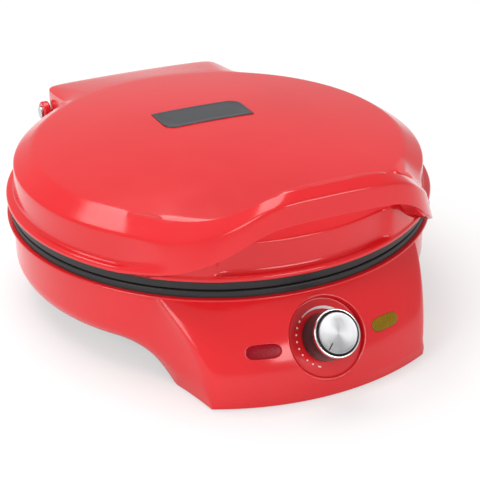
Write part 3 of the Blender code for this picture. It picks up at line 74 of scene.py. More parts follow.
BOW_REACH = 0.2040
BOW_HALF_WIDTH = 0.1090
BOW_HEIGHT = 0.0858
BOW_CORNER = 0.0044
BOW_WALL = 0.0028
BOW_SHARES = (0.93, 0.86, 0.78, 0.69, 0.59, 0.48, 0.36, 0.24, 0.12)
UPPER_EDGE = (BOW_REACH - 0.0074, BOW_HALF_WIDTH - 0.0075, DOME_EDGE_HEIGHT, BOW_HEIGHT + 0.0054, 0.81)
RIDGE_EDGE = (BOW_REACH, BOW_HALF_WIDTH, RIDGE_HEIGHT, BOW_HEIGHT, 0.878)
LOWER_EDGE = (BOW_REACH + 0.0005, BOW_HALF_WIDTH + 0.0075, 0.0100, BOW_HEIGHT - 0.0160, 0.93)
GRIP_DEPTH = 0.0140
GRIP_END_SHARE = 0.70

RECESS_ANGLE = math.radians(23.8)
PAD_HEIGHT = 0.0365
# Degrees from the front at dome edge, ridge, foot, step and lip
PAD_END = (31, 28.5, 37.5, 38.2, 38.5)
PAST_PAD = (33, 30.5, 39, 39.3, 39.6)
CROTCH = (40.5, 38, 40.2, 40.4, 41)
TONGUE_EDGE_SHARES = (0.92, 0.83, 0.75, 0.70, 0.66, 0.44, 0.22, 0)
TONGUE_SWELL = 0.0030
TONGUE_CROWN = 0.0013
TONGUE_HALF = 0.0810
TONGUE_REACH = 0.1970
TONGUE_CORNER = 0.0100
TONGUE_BOTTOM = 0.0085
TONGUE_REAR_HEIGHT = 0.0320

HINGE_REACH = 0.1870
HINGE_HEIGHT = 0.0120
EAR_RADIUS = 0.0095
EAR_THICKNESS = 0.0065
EAR_GAP = 0.0006
PIN_RADIUS = 0.0035

BASE_LIP_TOP = -0.0058
BASE_LIP_BOTTOM = -0.0073
DRUM_RADIUS = 0.1640
DRUM_DEPTH = 0.0545
DRUM_FILLET = 0.0160
FOOT_HEIGHT = -0.0760
PANEL_TOP_RADIUS = 0.1682
PANEL_FOOT_RADIUS = 0.2007
PANEL_POWER = 2.45
PANEL_BEVEL_HEIGHT = 0.0085
PANEL_BEVEL_DEPTH = 0.0012
CREASE_TOP = math.radians(38.6)
CREASE_FOOT = math.radians(25.5)
SIDE_TOP = math.radians(44)
SIDE_FOOT = math.radians(54)
SIDE_HOLLOW = 0.0040
SIDE_LIFT_SHARE = 0.42
FOOT_WALL_REACH = 0.1430

KNOB_TILT = math.radians(36)
DIAL_REACH = 0.186404
DIAL_DROP = 0.0350
DIAL_RADIUS = 0.0285
DIAL_FLOOR = -0.0028
DIAL_LIP = 0.0010
KNOB_BASE = DIAL_FLOOR + 0.0008
KNOB_TOP = KNOB_BASE + 0.0222
KNOB_RADIUS = 0.0177
KNOB_TOP_RADIUS = 0.0173
RING_INNER = 0.0159
CAP_RADIUS = 0.0146
CAP_RISE = 0.0020
CAP_THICKNESS = 0.0014
SHAFT_BORE_RADIUS = 0.0034
SHAFT_BORE_DEPTH = 0.0130
SCALE_RADIUS = 0.0215
# First and last angle, first and last width of the printed strokes
SCALE_STROKES = (
    (247, 241, 0.0009, 0.0009),
    (139, 134.5, 0.0012, 0.0013),
    (127, 6, 0.0007, 0.0021),
)

LENS_ANGLE = math.radians(14.6)
LENS_DROP = 0.0354
LENS_HALF_LENGTH = 0.0127
LENS_HALF_HEIGHT = 0.0050
LENS_TILT = math.radians(28)
# Inset from the window's outline, with the depth of its well and the lens's height
WINDOW_WELL = ((-0.0002, 0.00002), (-0.0001, 0.00010), (0, 0.00025), (0, 0.0030))
WINDOW_RINGS = (
    (0.0001, -0.0030),
    (0.0001, 0.0001),
    (0.0002, 0.00025),
    (0.0005, 0.00036),
    (0.0012, 0.00046),
    (0.0024, 0.00055),
    (0.0040, 0.00060),
)
INLET_DROP = 0.0380
INLET_RADIUS = 0.0078

BADGE_HALF_LENGTH = 0.0374
BADGE_FRONT = 0.0135
BADGE_REAR = 0.0475
BADGE_CORNER = 0.0090
BADGE_THICKNESS = 0.0010
# Share of the plate's outline and height over the dome, ring by ring
BADGE_RINGS = (
    (1, FIT / 3),
    (1, 0.0007),
    (0.997, 0.0009),
    (0.99, BADGE_THICKNESS),
    (0.97, BADGE_THICKNESS),
    (0.95, 0.0008),
    (0.7, 0.0008),
    (0.35, 0.0008),
)


# Finishes

class Wire:
    """A shader value that takes part in sums."""

    def __init__(self, paint, socket):
        self.paint = paint
        self.socket = socket

    def sum(self, operation, one, other):
        return self.paint.node("ShaderNodeMath", {"operation": operation}, {0: one, 1: other}).out(0)

    def __add__(self, other):
        return self.sum("ADD", self, other)

    def __radd__(self, other):
        return self.sum("ADD", other, self)

    def __mul__(self, other):
        return self.sum("MULTIPLY", self, other)

    def __rmul__(self, other):
        return self.sum("MULTIPLY", other, self)

    def __pow__(self, other):
        return self.sum("POWER", self, other)


class Made:
    def __init__(self, paint, node):
        self.paint = paint
        self.node = node

    def out(self, key):
        return Wire(self.paint, self.node.outputs[key])


class Paint:
    """One finish, made of shader nodes."""

    def __init__(self, name):
        self.material = bpy.data.materials.new(name)
        self.material.use_nodes = True
        self.tree = self.material.node_tree
        self.shader = self.tree.nodes["Principled BSDF"]
        self.place = self.node("ShaderNodeTexCoord").out("Object")

    def node(self, kind, settings=None, inputs=None):
        made = self.tree.nodes.new(kind)
        for key, value in (settings or {}).items():
            setattr(made, key, value)
        for key, value in (inputs or {}).items():
            self.feed(made.inputs[key], value)
        return Made(self, made)

    def feed(self, socket, value):
        if isinstance(value, Wire):
            self.tree.links.new(value.socket, socket)
        else:
            socket.default_value = value

    def surface(self, **values):
        for key, value in values.items():
            self.feed(self.shader.inputs[key.replace("_", " ")], value)
        return self.material

    def noise(self, scale, detail=2, vector=None, roughness=0.5):
        inputs = {"Vector": vector or self.place, "Scale": scale}
        inputs.update({"Detail": detail, "Roughness": roughness})
        return self.node("ShaderNodeTexNoise", {}, inputs).out(0)

    def cells(self, scale, output="Distance"):
        inputs = {"Vector": self.place, "Scale": scale}
        return self.node("ShaderNodeTexVoronoi", {"feature": "F1"}, inputs).out(output)

    def blend(self, share, one, other):
        pair = [c if isinstance(c, Wire) else (*c, 1) for c in (one, other)]
        inputs = {0: share, 6: pair[0], 7: pair[1]}
        return self.node("ShaderNodeMix", {"data_type": "RGBA"}, inputs).out(2)

    def stretched(self, scales):
        settings = {"operation": "MULTIPLY"}
        return self.node("ShaderNodeVectorMath", settings, {0: self.place, 1: scales}).out(0)

    def ramp(self, value, low, high):
        inputs = {0: value, 1: low, 2: high, 3: 0, 4: 1}
        return self.node("ShaderNodeMapRange", {"interpolation_type": "SMOOTHSTEP"}, inputs).out(0)

    def bump(self, height, distance, strength=1):
        inputs = {"Height": height, "Distance": distance, "Strength": strength}
        return self.node("ShaderNodeBump", {}, inputs).out(0)


def red_gloss_finish(name, low=(0.610, 0.011, 0.015), high=(0.650, 0.014, 0.019)):
    """Gloss moulded red with a faint flow, dust and orange peel."""
    paint = Paint(name)
    flow = paint.noise(9, 3)
    peel = paint.noise(420, 1)
    dust = paint.ramp(paint.noise(1500, 2), 0.70, 0.78)
    rub = paint.ramp(paint.noise(38, 4), 0.42, 0.72)
    colour = paint.blend(paint.ramp(flow, 0.3, 0.7), low, high)
    colour = paint.blend(dust * 0.06, colour, (0.85, 0.30, 0.30))
    return paint.surface(
        Base_Color=colour,
        Roughness=0.15 + rub * 0.05 + dust * 0.2,
        Specular_IOR_Level=0.42,
        Coat_Weight=0.12,
        Coat_Roughness=0.08,
        Normal=paint.bump(peel, 0.00003, 0.5),
    )


def coated_finish():
    """Black non-stick coat with fine pale specks and a sprayed grain."""
    paint = Paint("nonstick_coat")
    grain = paint.noise(2600, 2)
    cloud = paint.noise(30, 3)
    specks = paint.ramp(paint.noise(1900, 1), 0.69, 0.74)
    colour = paint.blend(cloud, (0.012, 0.012, 0.013), (0.022, 0.021, 0.022))
    colour = paint.blend(specks * 0.5, colour, (0.17, 0.17, 0.175))
    return paint.surface(
        Base_Color=colour,
        Roughness=0.36 + cloud * 0.10 + specks * 0.1,
        Specular_IOR_Level=0.32,
        Normal=paint.bump(grain, 0.00005, 0.5),
    )


def black_plastic_finish(name, low, high, roughness, sheen=0.5):
    """Black moulding with a spark-eroded grain."""
    paint = Paint(name)
    grain = paint.cells(1300)
    wear = paint.noise(60, 4)
    colour = paint.blend(wear, low, high)
    return paint.surface(
        Base_Color=colour,
        Roughness=roughness + wear * 0.12,
        Specular_IOR_Level=sheen,
        Normal=paint.bump(grain, 0.00008, 0.5),
    )


def sheet_finish():
    """Galvanised sheet with its spangle."""
    paint = Paint("galvanised_sheet")
    spangle = paint.cells(130, "Color")
    grey = paint.node("ShaderNodeRGBToBW", {}, {0: spangle}).out(0)
    fine = paint.noise(900, 3)
    colour = paint.blend(grey, (0.42, 0.43, 0.44), (0.62, 0.63, 0.64))
    return paint.surface(
        Base_Color=colour,
        Metallic=1.0,
        Roughness=0.28 + grey * 0.14 + fine * 0.05,
        Normal=paint.bump(fine, 0.00003, 0.4),
    )


def turned_steel_finish(name, colour_low, colour_high):
    """Plain steel with drawn lines along its length."""
    paint = Paint(name)
    lines = paint.noise(60, 4, paint.stretched((4, 40, 40)))
    tarnish = paint.noise(140, 4)
    colour = paint.blend(tarnish, colour_low, colour_high)
    return paint.surface(
        Base_Color=colour,
        Metallic=1.0,
        Roughness=0.26 + lines * 0.14,
        Normal=paint.bump(lines, 0.00003, 0.4),
    )


def sheath_finish():
    """Heater tube, blued and browned by heat."""
    paint = Paint("heater_sheath")
    heat = paint.noise(26, 4)
    soot = paint.noise(420, 3)
    colour = paint.blend(heat, (0.16, 0.13, 0.11), (0.34, 0.31, 0.28))
    colour = paint.blend(paint.ramp(soot, 0.5, 0.8) * 0.6, colour, (0.05, 0.05, 0.055))
    return paint.surface(
        Base_Color=colour,
        Metallic=0.9,
        Roughness=0.42 + soot * 0.2,
        Normal=paint.bump(soot, 0.00004, 0.4),
    )


def ceramic_finish():
    """Fired off-white ceramic with tiny pits."""
    paint = Paint("fired_ceramic")
    pits = paint.ramp(paint.cells(700), 0.0, 0.25)
    stain = paint.noise(80, 4)
    colour = paint.blend(stain, (0.68, 0.65, 0.58), (0.78, 0.76, 0.71))
    return paint.surface(
        Base_Color=colour, Roughness=0.42 + stain * 0.2, Normal=paint.bump(pits, 0.00005, 0.6)
    )


def rubber_finish():
    paint = Paint("soft_rubber")
    grain = paint.noise(1800, 3)
    dust = paint.ramp(paint.noise(240, 4), 0.45, 0.85)
    colour = paint.blend(dust, (0.018, 0.018, 0.018), (0.055, 0.053, 0.050))
    return paint.surface(
        Base_Color=colour, Roughness=0.72 + dust * 0.15, Normal=paint.bump(grain, 0.00006, 0.6)
    )


def badge_finish():
    """Dark plate with lines brushed along it."""
    paint = Paint("dark_badge_plate")
    lines = paint.noise(40, 5, paint.stretched((3, 70, 3)))
    cloud = paint.noise(55, 3)
    colour = paint.blend(lines, (0.030, 0.031, 0.036), (0.058, 0.060, 0.068))
    return paint.surface(
        Base_Color=colour,
        Metallic=0.25,
        Roughness=0.26 + cloud * 0.10,
        Normal=paint.bump(lines, 0.00002, 0.4),
    )


def lens_finish(name, deep, lit, painted_glow):
    """Tinted clear plastic over a ribbed back, with painted light: a lit tint along the ribs and a
    painted glow.
    """
    paint = Paint(name)
    ribs = paint.node(
        "ShaderNodeTexWave",
        {"wave_type": "BANDS", "bands_direction": "X"},
        {"Vector": paint.place, "Scale": 230, "Distortion": 0.6, "Detail": 1},
    ).out("Fac")
    depth = paint.noise(150, 3)
    # The ribs and a noise blend a deep tint into a lit tint: painted light through the ribbed back.
    colour = paint.blend(ribs * 0.45 + depth * 0.4, deep, lit)
    haze = paint.noise(500, 3)
    return paint.surface(
        Base_Color=colour,
        Roughness=0.22 + haze * 0.10,
        Specular_IOR_Level=0.16,
        # Painted glow: the lens gives off a faint light of its own, though it is no lamp.
        Emission_Color=(*painted_glow, 1),
        Emission_Strength=0.12,
        Normal=paint.bump(ribs, 0.0001, 0.25),
    )


def chrome_finish():
    """Polished chrome with hairlines and finger marks."""
    paint = Paint("polished_chrome")
    hair = paint.noise(300, 5, paint.stretched((1, 30, 3)))
    marks = paint.noise(130, 3)
    colour = paint.blend(marks, (0.78, 0.78, 0.79), (0.86, 0.86, 0.87))
    return paint.surface(
        Base_Color=colour,
        Metallic=1.0,
        Roughness=0.07 + marks * 0.06,
        Normal=paint.bump(hair, 0.00001, 0.3),
    )


def spun_finish():
    """Aluminium face with the rings left by spinning, about local Z."""
    paint = Paint("spun_aluminium")
    parts = paint.node("ShaderNodeSeparateXYZ", {}, {0: paint.place})
    x = parts.out(0)
    y = parts.out(1)
    radius = (x * x + y * y) ** 0.5
    along = paint.node("ShaderNodeCombineXYZ", {}, {0: radius, 1: 0.0, 2: 0.0}).out(0)
    rings = paint.noise(9000, 3, along, 0.7)
    coarse = paint.noise(2600, 2, along)
    tangent = paint.node("ShaderNodeTangent", {"direction_type": "RADIAL", "axis": "Z"}).out(0)
    colour = paint.blend(coarse, (0.46, 0.46, 0.47), (0.56, 0.56, 0.57))
    return paint.surface(
        Base_Color=colour,
        Metallic=1.0,
        Roughness=0.26 + coarse * 0.08,
        Anisotropic=0.75,
        Tangent=tangent,
        Normal=paint.bump(rings, 0.00006, 0.8),
    )


def ink_finish():
    """White printing ink, a little uneven."""
    paint = Paint("white_ink")
    patches = paint.noise(900, 3)
    colour = paint.blend(patches, (0.74, 0.62, 0.62), (0.86, 0.80, 0.80))
    return paint.surface(Base_Color=colour, Roughness=0.40 + patches * 0.15)


red_gloss = red_gloss_finish("gloss_red")
nonstick = coated_finish()
black_grain = black_plastic_finish("grained_black", (0.014, 0.014, 0.015), (0.026, 0.026, 0.028), 0.40)
knob_black = black_plastic_finish("knob_black", (0.016, 0.013, 0.014), (0.028, 0.024, 0.025), 0.26, 0.2)
sheet = sheet_finish()
steel = turned_steel_finish("plain_steel", (0.48, 0.48, 0.49), (0.60, 0.60, 0.61))
heater = sheath_finish()
ceramic = ceramic_finish()
rubber = rubber_finish()
badge_dark = badge_finish()
ruby = lens_finish("ruby_lens", (0.110, 0.000, 0.004), (0.330, 0.001, 0.012), (0.30, 0.0, 0.01))
amber = lens_finish("amber_green_lens", (0.110, 0.075, 0.001), (0.300, 0.170, 0.006), (0.12, 0.05, 0.0))
chrome = chrome_finish()
spun = spun_finish()
ink = ink_finish()


# Mesh helpers

def mix(a, b, share):
    return a + (b - a) * share


def smooth_share(value):
    value = min(max(value, 0), 1)
    return value * value * (3 - 2 * value)


def polar(radius, angle, height):
    """A point at an angle from the front, positive toward +X."""
    return Vector((radius * math.sin(angle), -radius * math.cos(angle), height))


def mirrored(points):
    return [Vector((-p.x, p.y, p.z)) for p in points]


def ladder(one, other):
    """Faces between two chains of vertex numbers."""
    faces = []
    for i in range(len(one) - 1):
        face = list(dict.fromkeys((one[i], one[i + 1], other[i + 1], other[i])))
        if len(face) > 2:
            faces.append(face)
    return faces


def ring_faces(one, other):
    """Faces between two closed rings of vertex numbers."""
    return ladder([*one, one[0]], [*other, other[0]])


class Shape:
    """Vertices and faces of one piece, about the seam's middle."""

    def __init__(self):
        self.vertices = []
        self.faces = []

    def place(self, points):
        start = len(self.vertices)
        self.vertices.extend(Vector(p) for p in points)
        return list(range(start, start + len(points)))

    def turn(self, profile, segments=192, frame_of=None):
        """Turns an outline of (radius, height) about an axis."""
        rings = []
        for radius, height in profile:
            points = []
            for i in range(1 if radius == 0 else segments):
                turn = math.tau * i / segments
                points.append(Vector((radius * math.cos(turn), radius * math.sin(turn), height)))
            if frame_of is not None:
                points = [frame_of @ p for p in points]
            ring = self.place(points)
            rings.append(ring * segments if radius == 0 else ring)
        for one, other in zip(rings, rings[1:]):
            self.faces.extend(ring_faces(one, other))
        return self

    def prism(self, outline, low, high, frame_of=None):
        move = frame_of or Matrix.Identity(4)
        under = self.place([move @ Vector((x, y, low)) for x, y in outline])
        over = self.place([move @ Vector((x, y, high)) for x, y in outline])
        self.faces.extend(ring_faces(under, over))
        self.faces.extend([under[::-1], over])
        return self


def make_piece(name, shape, material, body, stands_for=(), sharp=40, local=None):
    """Makes a piece; local keeps the mesh about its own axis."""
    mesh = bpy.data.meshes.new(name)
    mesh.from_pydata([tuple(v) for v in shape.vertices], [], shape.faces)
    form = bmesh.new()
    form.from_mesh(mesh)
    bmesh.ops.remove_doubles(form, verts=form.verts, dist=0.000001)
    bmesh.ops.recalc_face_normals(form, faces=form.faces)
    form.to_mesh(mesh)
    form.free()
    mesh.shade_smooth()
    mesh.set_sharp_from_angle(angle=math.radians(sharp))
    item = bpy.data.objects.new(name, mesh)
    bpy.context.scene.collection.objects.link(item)
    mesh.materials.append(material)
    item.matrix_world = Matrix.Translation(SEAM) @ (local or Matrix.Identity(4))
    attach(item, body)
    if stands_for:
        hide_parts(*stands_for)
    return item


def round_edges(item, width, segments=3, angle=40):
    bevel = item.modifiers.new("rounded", "BEVEL")
    bevel.width = width
    bevel.segments = segments
    bevel.limit_method = "ANGLE"
    bevel.angle_limit = math.radians(angle)
    bevel.harden_normals = False
    return item


# The lid's moulding

def softened(first, corner, last, soft):
    enter = corner + (first - corner).normalized() * soft
    leave = corner + (last - corner).normalized() * soft
    return [enter, (enter + 2 * corner + leave) / 4, leave]


def round_profile():
    """Radius and height of the round lid's skin, from dome edge to lip."""
    edge = Vector((DOME_RADIUS, DOME_EDGE_HEIGHT))
    ridge = Vector((SKIRT_RADIUS, RIDGE_HEIGHT))
    foot = Vector((SKIRT_RADIUS, LIP_TOP + FOOT_FILLET))
    return [
        edge,
        *softened(edge, ridge, foot, RIDGE_SOFT),
        foot,
        Vector((SKIRT_RADIUS + FOOT_FILLET, LIP_TOP + LIP_FALL)),
        Vector((LIP_RADIUS - LIP_SOFT, LIP_TOP)),
        Vector((LIP_RADIUS, LIP_TOP - LIP_SOFT)),
        Vector((LIP_RADIUS, LIP_BOTTOM)),
    ]


def pad_profile():
    """The same rows where a pad fills the step over the lip."""
    skin = round_profile()
    radius = LIP_RADIUS - LIP_SOFT
    top = Vector((radius, PAD_HEIGHT))
    foot = Vector((radius, LIP_TOP + 2 * FOOT_FILLET))
    middle = Vector((radius, LIP_TOP + FOOT_FILLET))
    return [skin[0], *softened(skin[0], top, foot, RIDGE_SOFT), foot, middle, *skin[6:]]


def on_circle(profile, angles):
    return [polar(p.x, angle, p.y) for p, angle in zip(profile, angles)]


def row_angles(edge, ridge, foot, step, lip):
    return [math.radians(v) for v in (edge, ridge, ridge, ridge, foot, step, lip, lip, lip)]


def tongue_outline(inset):
    """Half of the hinge tongue in plan, from its root to its middle."""
    half = TONGUE_HALF - inset
    reach = TONGUE_REACH - inset
    corner = TONGUE_CORNER - inset / 2
    root = math.sqrt(LIP_RADIUS**2 - TONGUE_HALF**2) + 2 * FOOT_FILLET
    bend = corner * (1 - math.sqrt(0.5))
    side = [(half, mix(root, reach - corner, share)) for share in (0, 0.5, 1)]
    rear = [((half - corner) * share, reach) for share in (1, 0.66, 0.33, 0)]
    return side + [(half - bend, reach - bend)] + rear


def tongue_height(x, reach):
    root = math.sqrt(SKIRT_RADIUS**2 - TONGUE_HALF**2)
    fall = min(max((reach - root) / (TONGUE_REACH - TONGUE_CORNER - root), 0), 1)
    middle = TONGUE_CROWN * (1 - (x / TONGUE_HALF) ** 2)
    return mix(RIDGE_HEIGHT + TONGUE_SWELL, TONGUE_REAR_HEIGHT, fall) + middle


def lid_columns():
    """Skin points, column by column, from the recess's middle to the tongue's."""
    skin = round_profile()
    pad = pad_profile()
    columns = [on_circle(skin, [RECESS_ANGLE * share] * 9) for share in (1 / 7, 3 / 7, 5 / 7, 1)]
    start = [RECESS_ANGLE + math.radians(0.5)] * 9
    pad_end = row_angles(*PAD_END)
    for share in (0, 1 / 3, 2 / 3, 1):
        columns.append(on_circle(pad, [mix(a, b, share) for a, b in zip(start, pad_end)]))
    columns.append(on_circle(skin, row_angles(*PAST_PAD)))
    columns.append(on_circle(skin, row_angles(*CROTCH)))
    roots = [math.pi - math.asin(TONGUE_HALF / p.x) for p in skin]
    for step in range(18):
        share = step / 17
        column = on_circle(skin, [mix(math.radians(50), root, share) for root in roots])
        for row in (1, 2, 3):
            column[row].z += TONGUE_SWELL * max(0, 4 * share - 3) ** 2
        columns.append(column)
    edge_root = math.pi - roots[0]
    for (x, reach), edge_share in zip(tongue_outline(0), TONGUE_EDGE_SHARES):
        edge = polar(DOME_RADIUS, math.pi - edge_root * edge_share, DOME_EDGE_HEIGHT)
        top = Vector((x, reach, tongue_height(x, reach)))
        foot = Vector((x, reach, TONGUE_BOTTOM))
        rim = softened(edge, top, foot, RIDGE_SOFT)
        wall = [mix(rim[2], foot, share) for share in (0.5, 0.75, 0.85, 0.93, 1)]
        columns.append([edge, *rim, *wall])
    return columns


def inner_columns(columns):
    """Mouth, shoulder and dome edge of the wall's inner face."""
    lean = math.sqrt(1 + BEVEL_SLOPE**2)
    edge_radius = DOME_RADIUS - WALL * BEVEL_SLOPE / 3
    shoulder = DOME_EDGE_HEIGHT - (MOUTH_RADIUS - DOME_RADIUS) * BEVEL_SLOPE - WALL * lean
    outline = tongue_outline(WALL)
    first_tongue = len(columns) - len(outline)
    inner = []
    for i, column in enumerate(columns):
        edge_angle = math.atan2(column[0].x, -column[0].y)
        edge = polar(edge_radius, edge_angle, DOME_EDGE_HEIGHT - WALL)
        if i < first_tongue:
            lip_angle = math.atan2(column[-1].x, -column[-1].y)
            mouth = polar(MOUTH_RADIUS, lip_angle, LIP_BOTTOM)
            top = polar(MOUTH_RADIUS, lip_angle, shoulder)
        else:
            x, reach = outline[i - first_tongue]
            mouth = Vector((x, reach, TONGUE_BOTTOM))
            top = Vector((x, reach, column[2].z - WALL * lean))
        inner.append([mouth, top, edge])
    return inner


def bow_edge(edge, join_radius, share):
    """A point of one of the bow's long edges, at a share of its half width."""
    reach, half_width, start, top, slope = edge
    join = math.sqrt(join_radius**2 - half_width**2)
    forward = reach - (reach - join) * abs(share) ** 4
    climb = start + slope * half_width * (1 - abs(share))
    height = (top + climb) / 2 - math.hypot((climb - top) / 2, BOW_CORNER)
    return Vector((half_width * share, -forward, height))


def bow_lines(share):
    return [
        bow_edge(UPPER_EDGE, DOME_RADIUS, share),
        bow_edge(RIDGE_EDGE, SKIRT_RADIUS, share),
        bow_edge(LOWER_EDGE, LIP_RADIUS, share),
    ]


def bow_direction(share):
    return (bow_lines(share + 0.01)[1] - bow_lines(share - 0.01)[1]).normalized()


def bow_inset(share, depth):
    """The bow's three lines moved inward by a depth, square to its faces."""
    upper, ridge, lower = bow_lines(share)
    along = bow_direction(share)
    top_out = along.cross(upper - ridge).normalized()
    front_out = (lower - ridge).cross(along).normalized()
    corner = (top_out + front_out) / (1 + top_out.dot(front_out))
    return [upper - top_out * depth, ridge - corner * depth, lower - front_out * depth]


def bow_rows(lines, soft):
    upper, ridge, lower = lines
    rim = softened(upper, ridge, lower, soft)
    return [upper, *rim, *[mix(rim[2], lower, share) for share in (0.55, 0.72, 0.84, 0.94, 1)]]


def spline(before, start, end, after, share):
    s = share
    return 0.5 * (
        2 * start
        + (end - before) * s
        + (2 * before - 5 * start + 4 * end - after) * s**2
        + (3 * start - before - 3 * end + after) * s**3
    )


def dome_height(x, y):
    return DOME_EDGE_HEIGHT + DOME_RISE * (1 - (math.hypot(x, y) / DOME_RADIUS) ** 2)


def lid_cage():
    """The lid's closed skin with the bow looped in front, and its firm edges."""
    half = lid_columns()
    half_inner = inner_columns(half)
    columns = half + [mirrored(c) for c in reversed(half[:-1])]
    inner = half_inner + [mirrored(c) for c in reversed(half_inner[:-1])]
    count = len(columns)
    crotch = 9
    merge = 10
    cage = Shape()
    firm = {}
    outer_rows = [cage.place(column) for column in columns]
    inner_rows = [cage.place(column) for column in inner]
    dome_rows = []
    ceiling_rows = []
    for column in columns:
        angle = math.atan2(column[0].x, -column[0].y)
        dome = []
        for s in DOME_SHARES:
            dome.append(polar(DOME_RADIUS * s, angle, DOME_EDGE_HEIGHT + DOME_RISE * (1 - s * s)))
        dome_rows.append(cage.place(dome))
        height = DOME_EDGE_HEIGHT + DOME_RISE * (1 - 0.67**2) - WALL
        ceiling_rows.append(cage.place([polar(DOME_RADIUS * 0.67, angle, height)]))
    top = cage.place([Vector((0, 0, DOME_EDGE_HEIGHT + DOME_RISE))])[0]
    under = cage.place([Vector((0, 0, DOME_EDGE_HEIGHT + DOME_RISE - WALL))])[0]
    left_merge = count - 1 - merge
    for i in range(count):
        j = (i + 1) % count
        dome_i = [top, *dome_rows[i], outer_rows[i][0]]
        dome_j = [top, *dome_rows[j], outer_rows[j][0]]
        cage.faces.extend(ladder(dome_i, dome_j))
        if i not in (crotch, left_merge):
            cage.faces.extend(ladder(outer_rows[i], outer_rows[j]))
        chain_i = [outer_rows[i][-1], *inner_rows[i], ceiling_rows[i][0], under]
        chain_j = [outer_rows[j][-1], *inner_rows[j], ceiling_rows[j][0], under]
        cage.faces.extend(ladder(chain_i, chain_j))
        firm[frozenset((outer_rows[i][0], outer_rows[j][0]))] = 0.62
        firm[frozenset((outer_rows[i][8], outer_rows[j][8]))] = 0.95
        firm[frozenset((inner_rows[i][0], inner_rows[j][0]))] = 0.9
    right_half = list(BOW_SHARES)
    shares = right_half + [0] + [-share for share in reversed(right_half)]
    outer_bow = [bow_rows(bow_lines(share), RIDGE_SOFT) for share in shares]
    inner_bow = [bow_rows(bow_inset(share, BOW_WALL), FIT) for share in shares]
    merges = []
    for before, start, end, after in (
        (columns[merge + 1], columns[merge], outer_bow[0], outer_bow[1]),
        (columns[left_merge - 1], columns[left_merge], outer_bow[-1], outer_bow[-2]),
    ):
        made = []
        for share in (0.33, 0.67):
            made.append(cage.place([spline(*four, share) for four in zip(before, start, end, after)]))
        merges.append(made)
    bow_outer = [cage.place(points) for points in outer_bow]
    bow_inner = [cage.place(points) for points in inner_bow]
    far_crotch = outer_rows[count - 1 - crotch]
    outer_chain = [outer_rows[merge], *merges[0], *bow_outer]
    outer_chain += [*reversed(merges[1]), outer_rows[left_merge]]
    inner_chain = [outer_rows[crotch], *bow_inner, far_crotch]
    for chain in (outer_chain, inner_chain):
        for one, other in zip(chain, chain[1:]):
            cage.faces.extend(ladder(one, other))
            firm[frozenset((one[0], other[0]))] = 0.75
            firm[frozenset((one[8], other[8]))] = 0.8
    for row in (0, 8):
        for i in range(len(bow_outer) - 1):
            outer_pair = [bow_outer[i][row], bow_outer[i + 1][row]]
            cage.faces.append([*outer_pair, bow_inner[i + 1][row], bow_inner[i][row]])
        ends = (
            (outer_rows[merge], merges[0], bow_outer[0], bow_inner[0], outer_rows[crotch]),
            (outer_rows[left_merge], merges[1], bow_outer[-1], bow_inner[-1], far_crotch),
        )
        for start, middle, outer, inside, corner in ends:
            way = [start, *middle, outer, inside, corner]
            cage.faces.append([points[row] for points in way])
    return cage, firm


def build_lid():
    cage, firm = lid_cage()
    lid = make_piece("lid_moulding", cage, red_gloss, "lid", ["lid_shell"], 180)
    mesh = lid.data
    crease = mesh.attributes.new("crease_edge", "FLOAT", "EDGE")
    for edge in mesh.edges:
        crease.data[edge.index].value = firm.get(frozenset(edge.vertices), 0)
    smooth = lid.modifiers.new("smooth", "SUBSURF")
    smooth.levels = 2
    smooth.render_levels = 2
    finished = bpy.data.meshes.new_from_object(lid.evaluated_get(bpy.context.evaluated_depsgraph_get()))
    lid.modifiers.clear()
    lid.data = finished
    for vertex in finished.vertices:
        place = vertex.co
        if math.hypot(place.x, place.y) < DOME_RADIUS * 0.985:
            height = dome_height(place.x, place.y)
            if abs(height - place.z) < WALL / 2:
                place.z = height
    finished.shade_smooth()
    finished.set_sharp_from_angle(angle=math.radians(60))


def build_grip():
    """The inner half of the handle, which closes the bow's moulding."""
    steps = 56
    grip = Shape()
    rows = []
    for i in range(steps + 1):
        share = GRIP_END_SHARE * (2 * i / steps - 1)
        upper, ridge, lower = bow_inset(share, BOW_WALL + FIT)
        along = bow_direction(share)
        inward = Vector((-along.y, along.x, 0)).normalized()
        top_depth = GRIP_DEPTH - (upper - ridge).dot(inward)
        section = [upper, ridge, lower, lower + inward * GRIP_DEPTH, upper + inward * top_depth]
        rows.append(grip.place(section))
    for one, other in zip(rows, rows[1:]):
        grip.faces.extend(ring_faces(one, other))
    grip.faces.extend([rows[0][::-1], rows[-1]])
    item = make_piece("handle_grip", grip, red_gloss, "lid", ["handle_grip_cover"], 35)
    round_edges(item, 0.0011)


